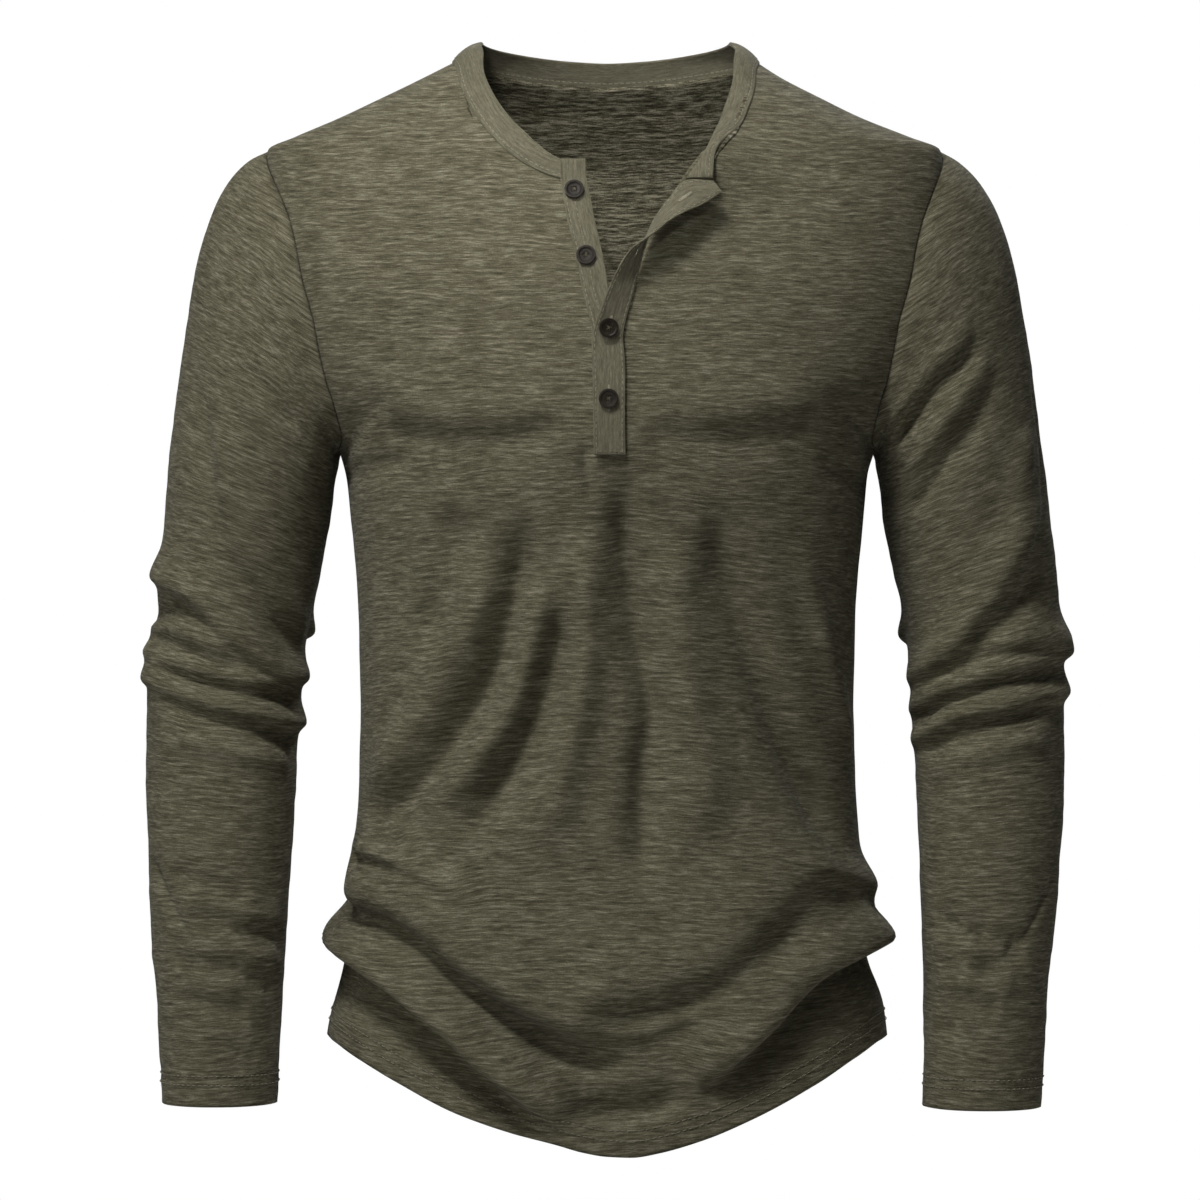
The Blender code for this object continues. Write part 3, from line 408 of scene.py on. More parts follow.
# As above, with the share of the sleeve's length in place of the height.
RIGHT_SLEEVE_FOLDS = (
    (-4, 9, 9, 0, 1.8, (66, 0.085, 78, 0.072, 98, 0.064, 128, 0.05, 150, 0.04)),
    (-3, 8, 8, 0, 1.8, (74, 0.112, 88, 0.118, 100, 0.122, 118, 0.13)),
    (-6, 9, 9, 0, 1.7, (40, 0.14, 50, 0.188, 64, 0.247, 80, 0.32, 108, 0.385, 172, 0.463)),
    (4, 11, 11, 0, 2, (60, 0.17, 68, 0.203, 88, 0.302, 116, 0.372, 178, 0.435)),
    (7, 10, 7, 3, 2, (-24, 0.36, 6, 0.362, 34, 0.366, 58, 0.376, 90, 0.427, 120, 0.46, 170, 0.482,
     220, 0.47)),
    (-7, 6, 6, 0, 1.4, (-10, 0.408, 20, 0.408, 48, 0.405, 72, 0.412, 92, 0.438, 114, 0.463, 144, 0.485)),
    (4, 6, 6, 1, 1.8, (0, 0.426, 40, 0.424, 74, 0.436, 100, 0.458)),
    (-5, 6, 6, 0, 1.5, (10, 0.438, 36, 0.442, 68, 0.455, 94, 0.47, 118, 0.478)),
    (5, 7, 6, 1, 1.8, (-20, 0.455, 10, 0.453, 36, 0.46, 74, 0.47, 110, 0.488, 150, 0.5)),
    (-8, 6, 7, 0, 1.4, (30, 0.472, 50, 0.474, 74, 0.485, 98, 0.497, 126, 0.505, 184, 0.517)),
    (7, 8, 7, 3, 2, (-16, 0.484, 10, 0.48, 52, 0.492, 74, 0.503, 106, 0.519, 158, 0.535, 215, 0.53)),
    (-6, 7, 9, 0, 1.6, (36, 0.514, 60, 0.522, 78, 0.526, 90, 0.531, 118, 0.547, 172, 0.565, 200, 0.566)),
    (4, 9, 8, 1, 2, (50, 0.556, 78, 0.562, 110, 0.576, 160, 0.59)),
    (-4.5, 9, 9, 0, 1.7, (48, 0.72, 64, 0.725, 92, 0.74, 120, 0.752)),
    (-5, 8, 8, 0, 1.6, (68, 0.768, 84, 0.775, 112, 0.787, 156, 0.797, 180, 0.797)),
    (-4, 8, 7, 0, 1.6, (44, 0.816, 60, 0.823, 80, 0.83, 104, 0.838)),
    (-4.5, 8, 8, 0, 1.6, (90, 0.834, 104, 0.838, 122, 0.85, 158, 0.862)),
    (-4, 8, 8, 0, 1.6, (60, 0.868, 76, 0.873, 96, 0.88, 124, 0.89)),
    (-3, 7, 7, 0, 1.6, (84, 0.918, 98, 0.925, 118, 0.938, 136, 0.943)),
    (-4, 5, 5, 0, 1.4, (24, 0.7, 30, 0.715, 54, 0.763, 76, 0.807)),
    (4, 9, 8, 0, 2, (56, 0.748, 72, 0.755, 112, 0.768, 160, 0.775)),
    (4, 8, 8, 0, 2, (62, 0.8, 80, 0.807, 122, 0.818, 160, 0.823)),
    (3, 8, 8, 0, 2, (46, 0.846, 62, 0.85, 96, 0.857, 154, 0.878)),
    (5, 11, 8, 2, 2, (178, 0.4, 205, 0.42, 250, 0.41, 290, 0.385)),
    (-6, 7, 7, 0, 1.5, (184, 0.44, 215, 0.452, 255, 0.44, 300, 0.42)),
    (-5, 8, 8, 0, 1.6, (190, 0.5, 225, 0.505, 270, 0.49, 310, 0.47)),
    (-4, 10, 10, 0, 1.7, (200, 0.72, 235, 0.74, 275, 0.735)),
    (-4, 9, 9, 0, 1.7, (210, 0.81, 245, 0.825, 290, 0.82)),
    (-4, 10, 10, 0, 1.8, (200, 0.08, 235, 0.13, 262, 0.21, 280, 0.3)),
    (-3.5, 9, 9, 0, 1.8, (205, 0.17, 240, 0.22, 270, 0.29)),
)
LEFT_SLEEVE_FOLDS = (
    (3.6, 9, 9, 0, 2, (58, 0.094, 68, 0.09, 94, 0.076, 118, 0.06, 150, 0.03)),
    (3.6, 9, 9, 0, 2, (52, 0.128, 62, 0.13, 84, 0.138, 98, 0.152, 134, 0.19)),
    (-5, 8, 8, 0, 1.7, (58, 0.112, 66, 0.11, 100, 0.108, 146, 0.122)),
    (-5, 9, 9, 0, 1.7, (50, 0.15, 58, 0.155, 86, 0.185, 118, 0.23, 140, 0.26)),
    (4, 10, 10, 0, 2, (36, 0.2, 42, 0.223, 56, 0.28, 74, 0.34, 84, 0.37)),
    (-3.5, 6, 6, 0, 1.6, (14, 0.16, 12, 0.21, 16, 0.26, 40, 0.31, 60, 0.345)),
    (7, 12, 9, 2, 2, (20, 0.27, 36, 0.295, 58, 0.323, 90, 0.385, 124, 0.443, 162, 0.478, 196, 0.48)),
    (-6, 9, 9, 0, 1.7, (30, 0.35, 56, 0.38, 84, 0.42, 112, 0.452)),
    (-6, 6, 6, 0, 1.5, (20, 0.452, 50, 0.45, 84, 0.455, 106, 0.462, 132, 0.475, 164, 0.49)),
    (5, 9, 8, 1, 2, (-10, 0.43, 20, 0.431, 46, 0.434, 76, 0.437, 104, 0.443)),
    (7, 8, 6, 2, 2, (-22, 0.452, 8, 0.45, 34, 0.452, 54, 0.457, 90, 0.473, 128, 0.495, 162, 0.517,
     200, 0.52)),
    (-7, 6, 6, 0, 1.4, (10, 0.477, 34, 0.479, 56, 0.482, 88, 0.487, 116, 0.505, 150, 0.524, 180, 0.533)),
    (6, 8, 7, 2, 2, (-18, 0.49, 10, 0.494, 40, 0.5, 70, 0.508, 118, 0.524, 160, 0.553, 196, 0.56)),
    (-6, 7, 9, 0, 1.6, (30, 0.512, 62, 0.522, 80, 0.526, 110, 0.544, 140, 0.565, 170, 0.58)),
    (4, 9, 8, 1, 2, (40, 0.55, 70, 0.558, 104, 0.574, 150, 0.6)),
    (-4.5, 9, 9, 0, 1.7, (150, 0.773, 136, 0.777, 114, 0.782, 90, 0.789)),
    (-4, 8, 8, 0, 1.6, (106, 0.788, 88, 0.8, 70, 0.807)),
    (-4.5, 8, 8, 0, 1.6, (108, 0.846, 84, 0.826, 58, 0.81)),
    (-4, 8, 8, 0, 1.6, (130, 0.86, 100, 0.87, 80, 0.877)),
    (-4, 8, 8, 0, 1.6, (146, 0.896, 114, 0.907, 90, 0.914)),
    (-3.5, 5, 5, 0, 1.4, (24, 0.712, 30, 0.725, 46, 0.755, 60, 0.785, 82, 0.815)),
    (3.6, 8, 8, 0, 2, (154, 0.8, 120, 0.808, 92, 0.818)),
    (3.4, 8, 8, 0, 2, (150, 0.84, 120, 0.85, 90, 0.852, 64, 0.842)),
    (5, 11, 8, 2, 2, (170, 0.4, 205, 0.425, 250, 0.42, 290, 0.4)),
    (-6, 7, 7, 0, 1.5, (184, 0.45, 215, 0.46, 255, 0.452, 300, 0.43)),
    (-5, 8, 8, 0, 1.6, (195, 0.515, 225, 0.52, 270, 0.5, 310, 0.48)),
    (-4, 10, 10, 0, 1.7, (200, 0.7, 235, 0.725, 275, 0.72)),
    (-4, 9, 9, 0, 1.7, (210, 0.83, 245, 0.84, 290, 0.83)),
    (-4, 10, 10, 0, 1.8, (200, 0.09, 235, 0.14, 262, 0.2, 280, 0.29)),
    (-3.5, 9, 9, 0, 1.8, (205, 0.18, 240, 0.23, 270, 0.3)),
)

# Sections of the sleeves: outer x, z, inner x, z, centre's depth, half-depth. x is positive on both.
SLEEVE_RIGHT = (
    (227, -60, 179, -261, 0, 74),
    (239, -66, 182, -261.5, 0, 75),
    (252, -79, 183, -262.5, 1, 75),
    (263, -99, 183.5, -264, 2, 74),
    (272, -127, 183.5, -267, 3, 72.5),
    (278, -160, 183.5, -272, 4, 71),
    (283, -194, 184, -279, 5, 69),
    (288, -228, 185, -290, 6, 67),
    (292, -262, 187, -306, 7, 65),
    (295, -300, 190.5, -325, 8, 62.5),
    (298, -333, 194.5, -346, 8, 60.5),
    (301, -366, 200.5, -372, 7, 59),
    (305, -396, 204.5, -397, 5, 58),
    (306.5, -427, 206.5, -427, 2, 56),
    (307, -461, 208, -461, -3, 54),
    (306, -500, 210, -500, -10, 52),
    (304, -540, 212.5, -540, -18, 49.5),
    (301.5, -580, 214, -580, -26, 47),
    (298, -619, 216, -619, -33, 44.5),
    (295, -658, 218, -658, -39, 42.5),
    (292.5, -691.5, 219.5, -691.5, -44, 41),
)
SLEEVE_LEFT = (
    (223, -60, 179, -261, 0, 74),
    (235, -67, 182, -261.5, 0, 75),
    (249, -81, 183, -262.5, 1, 75),
    (260.5, -101, 183, -264, 2, 74),
    (269, -127, 183, -267, 3, 72.5),
    (275.5, -160, 183, -272, 4, 71),
    (281.5, -194, 183.5, -279, 5, 69),
    (286.7, -228, 185, -290, 6, 67),
    (291, -262, 186.5, -306, 7, 65),
    (295.5, -300, 190.5, -325, 8, 62.5),
    (299.5, -333, 195, -346, 8, 60.5),
    (302.5, -366, 201, -372, 7, 59),
    (304, -396, 204, -397, 5, 58),
    (304.5, -427, 205.5, -427, 2, 56),
    (304.5, -461, 207, -461, -3, 54),
    (303, -500, 208.5, -500, -10, 52),
    (300, -540, 209.5, -540, -18, 49.5),
    (296, -580, 210.5, -580, -26, 47),
    (291, -619, 211, -619, -33, 44.5),
    (287.5, -658, 210.5, -658, -39, 42.5),
    (284.5, -694, 210, -694, -44, 41),
)
# Name, sideways place, height, stand-off from the front, tilt sideways and down, turn of its four holes.
BUTTONS = (
    ("button_1", -21.4, -95.0, 1.8, 0, 0, 8),
    ("button_2", -13.7, -138.3, 1.8, 0, 0, 38),
    ("button_3", 0.8, -186.4, 6.0, 0.16, 0.2, -12),
    ("button_4", 0.8, -231.4, 4.0, 0, 0, 5),
)
# Buttonholes: sideways place, height, length, side of the placket, and half the width of the opening.
BUTTONHOLES = (
    (48.6, -98.6, 10.5, -1, 0.55),
    (15.0, -132.0, 10.5, 1, 0.3),
    (0.8, -186.4, 16.5, 1, 0.3),
    (0.8, -231.4, 16.5, 1, 0.3),
)
# How far the rows of knitting lean from level, in degrees, by share of the sleeve's length.
COURSE_LEAN = ((0.0, 34), (0.15, 26), (0.4, 14), (0.6, 4), (1.0, -4))

# Tones of the knit from dark to light, by how much of the light yarn shows, and on the inside of the cloth.
OLIVE = (
    (0.34, (0.034, 0.030, 0.018)),
    (0.46, (0.095, 0.087, 0.053)),
    (0.54, (0.155, 0.143, 0.095)),
    (0.66, (0.320, 0.295, 0.215)),
)
OLIVE_TRIM = (
    (0.34, (0.085, 0.078, 0.050)),
    (0.48, (0.130, 0.120, 0.080)),
    (0.56, (0.165, 0.153, 0.105)),
    (0.68, (0.230, 0.215, 0.155)),
)
MIDDLE_TONE = 0.5
INSIDE_CONTRAST = 1.1

# Lights: name, place, target, width, height, power, then the angle its grid narrows it to.
LIGHTS = (
    ("key_light", (-0.45, -1.14, 1.22), (0.0, -0.05, -0.25), 0.5, 0.5, 17, 180),
    ("side_light", (-1.55, -1.25, 0.35), (0.0, -0.05, -0.35), 0.6, 0.8, 9, 180),
    ("chest_light", (-0.56, -1.22, 1.32), (-0.03, -0.10, -0.18), 0.3, 0.3, 0.4, 34),
    ("neck_light", (-0.25, -1.9, 0.30), (0.01, 0.05, -0.05), 0.2, 0.2, 0.08, 14),
    ("back_light", (0.6, 1.35, 1.15), (0.0, 0.05, -0.35), 0.6, 0.6, 15, 180),
)
FLOOR_Z = -1.12

# Lines and fields.


def unit(v):
    v = np.asarray(v, float)
    return v / np.linalg.norm(v, axis=-1, keepdims=True)


def run_of(points):
    """Distance along a line of points, from 0 at its start."""
    return np.concatenate([[0], np.cumsum(np.linalg.norm(np.diff(points, axis=0), axis=1))])


def ease(t):
    return t * t * (3 - 2 * t)


def bell(distance, width):
    return np.exp(-((distance / width) ** 2))


def cubic(at, place, value, slope):
    """Cubic through values with the given slopes at rising places."""
    cell = np.clip(np.searchsorted(place, at, side="right") - 1, 0, len(place) - 2)
    width = place[cell + 1] - place[cell]
    t = (at - place[cell]) / width
    if value.ndim > 1:
        width, t = width[:, None], t[:, None]
    return (
        (1 + 2 * t) * (1 - t) ** 2 * value[cell]
        + t * (1 - t) ** 2 * width * slope[cell]
        + ease(t) * value[cell + 1]
        + t**2 * (t - 1) * width * slope[cell + 1]
    )


def smooth(at, table, column):
    """Monotone cubic through one column of a table whose first column is the position."""
    place, value = np.array(sorted((row[0], row[column]) for row in table), float).T
    gap = np.diff(place)
    rise = np.diff(value) / gap
    slope = np.zeros(len(place))
    first, last = gap[:-1] + 2 * gap[1:], 2 * gap[:-1] + gap[1:]
    with np.errstate(divide="ignore", invalid="ignore"):
        middle = (first + last) / (last / rise[:-1] + first / rise[1:])
    slope[1:-1] = np.where(rise[:-1] * rise[1:] > 0, middle, 0)
    slope[0], slope[-1] = rise[0], rise[-1]
    return cubic(np.clip(np.asarray(at, float), place[0], place[-1]), place, value, slope)


def through(points, count):
    """Evenly spread points on a smooth curve through the given ones."""
    points = np.array(points, float)
    run = run_of(points)
    return cubic(np.linspace(0, run[-1], count), run, points, np.gradient(points, run, axis=0))


def soften(line, times):
    line = line.copy()
    for _ in range(times):
        line[1:-1] = 0.25 * line[:-2] + 0.5 * line[1:-1] + 0.25 * line[2:]
    return line


def even_lines(first, second, count, times):
    """Both lines resampled together, evenly along their middle, then softened."""
    run = run_of((first + second) / 2)
    fine = np.linspace(0, run[-1], count)
    pick = lambda line: np.stack([np.interp(fine, run, column) for column in line.T], axis=1)
    return soften(pick(first), times), soften(pick(second), times)


def rough(points, size, seed=0.0):
    """Smooth unevenness from about -1 to 1 at each point, with lumps of the given size in mm."""
    flat = np.asarray(points, float).reshape(-1, 3) / size + seed
    return np.array([noise.noise(Vector(row)) for row in flat]).reshape(np.shape(points)[:-1])


def fold_field(across, along, folds, seed):
    """Outward push and downward sag of the cloth at places given in mm across and along it."""
    shape = np.shape(across)
    across, along = np.ravel(across).astype(float), np.ravel(along).astype(float)
    place = np.stack([across, along, np.full(len(across), seed)], axis=1)
    across = across + FOLD_WANDER * rough(place, 45, 3.1)
    along = along + FOLD_WANDER * rough(place, 38, 7.7)
    push, sag = np.zeros(len(across)), np.zeros(len(across))
    for number, (height, above, below, droop, sharp, path) in enumerate(folds):
        line = through(path, FOLD_POINTS)
        reach = FOLD_REACH * max(above, below)
        low, high = line.min(axis=0) - reach, line.max(axis=0) + reach
        near = (across > low[0]) & (across < high[0]) & (along > low[1]) & (along < high[1])
        if not near.any():
            continue
        x, z = across[near], along[near]
        nearest = np.full(len(x), np.inf)
        side, share = np.zeros(len(x)), np.zeros(len(x))
        for i, (start, step) in enumerate(zip(line[:-1], np.diff(line, axis=0))):
            t = ((x - start[0]) * step[0] + (z - start[1]) * step[1]) / max(step @ step, 1e-9)
            t = np.clip(t, 0, 1)
            dx, dz = x - start[0] - t * step[0], z - start[1] - t * step[1]
            gap = np.hypot(dx, dz)
            closer = gap < nearest
            normal = np.array([-step[1], step[0]]) * (1 if step[0] >= 0 else -1)
            nearest = np.where(closer, gap, nearest)
            side = np.where(closer, dx * normal[0] + dz * normal[1], side)
            share = np.where(closer, (i + t) / (len(line) - 1), share)
        blend = 0.5 + 0.5 * np.tanh(side / (np.linalg.norm(step) * 0.35 * above))
        width = below + (above - below) * blend
        taper = ease(np.clip(np.minimum(share, 1 - share) / FOLD_TAPER, 0, 1))
        uneven = 1 + FOLD_UNEVEN * np.sin(share * 9.0 + number * 2.3) * np.sin(share * 4.1 + number)
        bump = np.exp(-((nearest / width) ** sharp)) * taper * uneven
        push[near] += height * bump
        sag[near] += droop * bump
    return push.reshape(shape), sag.reshape(shape)


def in_mm(folds, across, along):
    """Fold rows whose paths are in mm across and along the cloth."""
    return [row[:5] + (np.reshape(row[5], (-1, 2)) * (across, along),) for row in folds]


def folds_round(angle, turns, scale, along, folds, seed):
    """Push and sag on a closed form, where a fold's angles may run past a whole turn."""
    return np.sum([fold_field((angle + turn) * scale, along, folds, seed) for turn in turns], axis=0)


# Form of the body.


def section(angle, z):
    """Plain body surface at an angle in degrees from the front centre, positive to the wearer's left."""
    turn = np.radians(angle)
    across, ahead = np.sin(turn), np.cos(turn)
    wide = np.where(across < 0, smooth(z, SECTIONS, 1), smooth(z, SECTIONS, 2))
    deep = np.where(ahead > 0, smooth(z, SECTIONS, 3), smooth(z, SECTIONS, 4))
    reach = (np.abs(across) / wide) ** BODY_POWER + (np.abs(ahead) / deep) ** BODY_POWER
    reach = reach ** (-1 / BODY_POWER)
    return reach * across, -reach * ahead


def arcs(z, side, behind):
    """Angles and arc lengths from the centre line to the side, one row for each height."""
    turn = np.linspace(0, 90, 46)
    angle = side * (180 - turn if behind else turn)
    x, y = section(angle[None, :], np.asarray(z, float)[:, None])
    run = np.cumsum(np.hypot(np.diff(x), np.diff(y)), axis=1)
    return angle, np.concatenate([np.zeros((len(x), 1)), run], axis=1)


def arc_at(angle, z, side, behind):
    angles, run = arcs(z, side, behind)
    order = np.argsort(angles)
    return np.array([np.interp(a, angles[order], row[order]) for a, row in zip(angle, run)])


def angle_at(arc, z, side, behind):
    angles, run = arcs(z, side, behind)
    return np.array([np.interp(s, row, angles) for s, row in zip(arc, run)])


def angle_of_x(x, z):
    """Angle of the front surface at a sideways place."""
    wide = np.where(np.asarray(x) < 0, smooth(z, SECTIONS, 1), smooth(z, SECTIONS, 2))
    ahead = smooth(z, SECTIONS, 3) * (1 - (np.abs(x) / wide) ** BODY_POWER) ** (1 / BODY_POWER)
    return np.degrees(np.arctan2(x, ahead))


def lift_of(angle, z):
    """How far the turned-back left front stands off the chest."""
    edge_z = np.clip(z, SLIT_Z, EDGE_TOP_Z)
    share = np.interp(edge_z, [row[2] for row in EDGE_LEFT], [row[0] for row in EDGE_LEFT])
    edge = angle_of_x(smooth(share, EDGE_LEFT, 1), edge_z)
    away = np.maximum(angle - edge, 0) * LIFT_MM_PER_DEGREE
    fade = bell(away, LIFT_FADE) * bell(np.maximum(z - EDGE_TOP_Z, 0), LIFT_FADE)
    return np.where(angle > 0.2, smooth(edge_z, EDGE_LIFT, 1) * fade, 0)


def body_plain(angle, z):
    """Body surface before folding and its outward normal."""
    plain = lambda a, h: np.stack([*section(a, h), h], axis=-1)
    wide = plain(angle + 0.5, z) - plain(angle - 0.5, z)
    tall = plain(angle, np.minimum(z + 1, 0)) - plain(angle, z - 1)
    return plain(angle, z), unit(np.cross(wide, tall))


def body(angle, z):
    """Folded body surface and the outward normal of the plain one."""
    angle, z = np.asarray(angle, float), np.asarray(z, float)
    points, normals = body_plain(angle, z)
    push, sag = folds_round(angle, (-360, 0), MM_PER_DEGREE, z, BODY_FOLDS_MM, 0.0)
    from_front = np.abs((angle + 180) % 360 - 180)
    free = ease(np.clip((z - smooth(from_front, HEM, 1)) / HEM_CALM, 0, 1))
    calm = np.clip((TIP_Z - 20 - z) / 60, 0, 1)
    push = push * (0.3 + 0.7 * free) + calm * (0.5 * rough(points, 42) + 0.25 * rough(points, 17, 5.0))
    push = push + lift_of(angle, z)
    return points + normals * push[..., None] - (sag * free)[..., None] * UP, normals


def between(foot, top, middle, edge, up, out):
    """Flat grid filled in between four boundary lines."""
    foot, top = foot.copy(), top.copy()
    foot[0], foot[-1], top[0], top[-1] = middle[0], edge[0], middle[-1], edge[-1]
    v, u = up[:, None, None], out[None, :, None]
    flat = (1 - v) * foot[None] + v * top[None] + (1 - u) * middle[:, None] + u * edge[:, None]
    low, high = (1 - u) * foot[0] + u * foot[-1], (1 - u) * top[0] + u * top[-1]
    return flat - ((1 - v) * low + v * high)


def patch(side, behind, up, out):
    """Angle and height at each crossing of one half of a body panel, rows up and columns outwards."""
    hole = (up - ARMPIT_SHARE) / (1 - ARMPIT_SHARE)
    column = 3 if behind else 1
    skirt = smooth([90], HEM, 1) + (ARMPIT_Z - smooth([90], HEM, 1)) * up / ARMPIT_SHARE
    side_z = np.where(hole > 0, smooth(hole, ARMHOLE, column), skirt)
    side_angle = np.where(hole > 0, smooth(hole, ARMHOLE, column + 1), 90)
    neck = NECK_BACK if behind else NECK_RIGHT if side < 0 else NECK_LEFT
    share = out / NECK_SHARE
    tip = np.maximum((out - NECK_SHARE) / (1 - NECK_SHARE), 0)
    top_z = np.where(share < 1, smooth(share, neck, 2), TIP_Z * tip)
    top_angle = np.where(share < 1, smooth(share, neck, 1), 90)
    foot_angle = 180 - out * 90 if behind else out * 90
    foot_z = smooth(foot_angle, HEM, 1 if side < 0 else 2)
    middle_z = foot_z[0] + (SLIT_Z - foot_z[0]) * np.minimum(up / ARMPIT_SHARE, 1)
    if behind:
        middle_z = np.where(hole > 0, SLIT_Z + (neck[0][2] - SLIT_Z) * hole, middle_z)
        middle_angle = np.full(len(up), 180.0)
    else:
        edge = EDGE_RIGHT if side < 0 else EDGE_LEFT
        middle_z = np.where(hole > 0, smooth(hole, edge, 2), middle_z)
        middle_angle = np.abs(angle_of_x(np.where(hole > 0, smooth(hole, edge, 1), 0), middle_z))
    run = lambda angle, z: np.stack([arc_at(side * angle, z, side, behind), z], axis=-1)
    foot, top = run(foot_angle, foot_z), run(top_angle, top_z)
    middle, edge_line = run(middle_angle, middle_z), run(side_angle, side_z)
    waist = int(np.argmin(np.abs(up - ARMPIT_SHARE)))
    chest = middle[waist] + (edge_line[waist] - middle[waist]) * out[:, None]
    below, above = slice(None, waist + 1), slice(waist, None)
    lower = between(foot, chest, middle[below], edge_line[below], up[below] / ARMPIT_SHARE, out)
    upper = between(chest, top, middle[above], edge_line[above], hole[above], out)
    arc, z = np.moveaxis(np.concatenate([lower, upper[1:]]), -1, 0)
    angle = angle_at(arc.ravel(), z.ravel(), side, behind).reshape(z.shape)
    return angle + (360 if behind and side < 0 else 0), z


def spread(*parts):
    """Shares from 0 to 1 in zones, each given as its end and its number of steps."""
    out, start = [0.0], 0.0
    for end, count in parts:
        out += [start + (end - start) * (i + 1) / count for i in range(count)]
        start = end
    return np.array(out)


# Meshes.


def mesh_of(name, points, faces, uv=None):
    """Object from points in mm, with one UV pair for each point where given."""
    mesh = bpy.data.meshes.new(name)
    mesh.from_pydata((np.asarray(points) * MM).tolist(), [], [tuple(f) for f in faces])
    if uv is not None:
        layer = mesh.uv_layers.new(name="cloth")
        corner = np.empty(len(mesh.loops), np.int32)
        mesh.loops.foreach_get("vertex_index", corner)
        layer.data.foreach_set("uv", (np.asarray(uv) * MM)[corner].astype(np.float32).ravel())
    mesh.polygons.foreach_set("use_smooth", np.ones(len(mesh.polygons), bool))
    mesh.update()
    thing = bpy.data.objects.new(name, mesh)
    bpy.context.scene.collection.objects.link(thing)
    return thing


def with_bmesh(thing, change):
    work = bmesh.new()
    work.from_mesh(thing.data)
    change(work)
    work.to_mesh(thing.data)
    work.free()


def face_out(work):
    bmesh.ops.recalc_face_normals(work, faces=work.faces)
    if work.calc_volume(signed=True) < 0:
        bmesh.ops.reverse_faces(work, faces=work.faces)


def drop_loose(work):
    bmesh.ops.delete(work, geom=[v for v in work.verts if not v.link_faces], context="VERTS")


def close_seam(work):
    bmesh.ops.remove_doubles(work, verts=work.verts, dist=SAME_PLACE * MM)


def select_only(thing):
    bpy.ops.object.select_all(action="DESELECT")
    if thing:
        thing.select_set(True)
        bpy.context.view_layer.objects.active = thing


def applied(thing, kind, **settings):
    """Adds a modifier and applies it."""
    modifier = thing.modifiers.new(kind.lower(), kind)
    for name, value in settings.items():
        setattr(modifier, name, value)
    select_only(thing)
    bpy.ops.object.modifier_apply(modifier=modifier.name)


def give_wall(thing, wall):
    """Turns a sheet into a wall of the given thickness, inwards from its face, and marks its inside."""
    outer = len(thing.data.vertices)
    applied(thing, "SOLIDIFY", thickness=wall * MM, offset=-1, use_even_offset=False)
    inside = thing.data.attributes.new("inside", "FLOAT", "POINT")
    within = np.arange(len(thing.data.vertices)) >= outer
    inside.data.foreach_set("value", within.astype(np.float32))


def finish_piece(thing, material, slot_name, *nodes):
    thing.data.materials.clear()
    thing.data.materials.append(material)
    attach(thing, "root")
    if nodes:
        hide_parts(*nodes)
    return thing


def solid_of(name, points, faces, material, slot_name="trim", *nodes, uv=None):
    """Closed piece with its faces turned outwards."""
    thing = mesh_of(name, points, faces, uv)
    with_bmesh(thing, face_out)
    return finish_piece(thing, material, slot_name, *nodes)


def grid_faces(index):
    corners = [index[:-1, :-1], index[:-1, 1:], index[1:, 1:], index[1:, :-1]]
    return np.stack(corners, axis=-1).reshape(-1, 4)


def numbered(grid):
    return np.arange(grid.shape[0] * grid.shape[1]).reshape(grid.shape[:2])


# Body panels.


def half_panel(side, behind):
    """Points and flat places of one half of the front or back."""
    rows = spread((ARMPIT_SHARE, SKIRT_ROWS), (1.0, CHEST_ROWS))
    columns = spread((NECK_SHARE, NECK_COLUMNS), (1.0, SHOULDER_COLUMNS))
    angle, z = patch(side, behind, rows, columns)
    points, normals = body(angle, z)
    arc = arc_at(angle.ravel() - (360 if behind and side < 0 else 0), z.ravel(), side, behind)
    arc = side * arc.reshape(angle.shape)
    across = 1 - np.cos(np.radians(angle)) * (-1 if behind else 1)
    course = z - smooth(z, COURSE_BOW, 1) * np.clip(across, 0, 1)
    below_top = z[:1] + HEM_DEPTH - z
    turned = HEM_STEP * np.clip(8 * np.clip(below_top / HEM_DEPTH, 0, 1), 0, 1)
    rope = HEM_STEP * np.sin(arc * 0.9 + 1.3 * np.sin(arc * 0.13)) * bell(below_top, ROPE_WIDTH)
    points = points + normals * (turned + rope)[..., None]
    from_side = np.linalg.norm(points - points[:, -1:], axis=-1)
    from_top = np.linalg.norm(points - points[-1:, :], axis=-1)
    from_top = from_top + np.where(np.arange(len(columns)) < NECK_COLUMNS - 1, 30, 0)
    dip = np.maximum(bell(from_side, SEAM_WIDTH), bell(from_top, SEAM_WIDTH))
    return points - normals * (SEAM_DIP * dip)[..., None], np.stack([arc, course], axis=-1)


def panel(name, behind, node):
    """Front or back, joined along its centre up to the slit, and the grids of its halves by side."""
    points, uv, faces, grids = [], [], [], {}
    for side in (-1, 1):
        grids[side], flat = half_panel(side, behind)
        index = numbered(flat) + len(points)
        if side < 0:
            shared = index[:, 0].copy()
        else:
            joined = len(flat) if behind else SKIRT_ROWS + 1
            index[:joined, 0] = shared[:joined]
        quads = grid_faces(index)
        faces.extend((quads if (side > 0) != behind else quads[:, ::-1]).tolist())
        points.extend(grids[side].reshape(-1, 3))
        uv.extend(flat.reshape(-1, 2))
    thing = mesh_of(name, points, faces, uv)
    with_bmesh(thing, drop_loose)
    give_wall(thing, JERSEY_WALL)
    return finish_piece(thing, slub_cloth, "cloth", node), grids


# Sleeves.


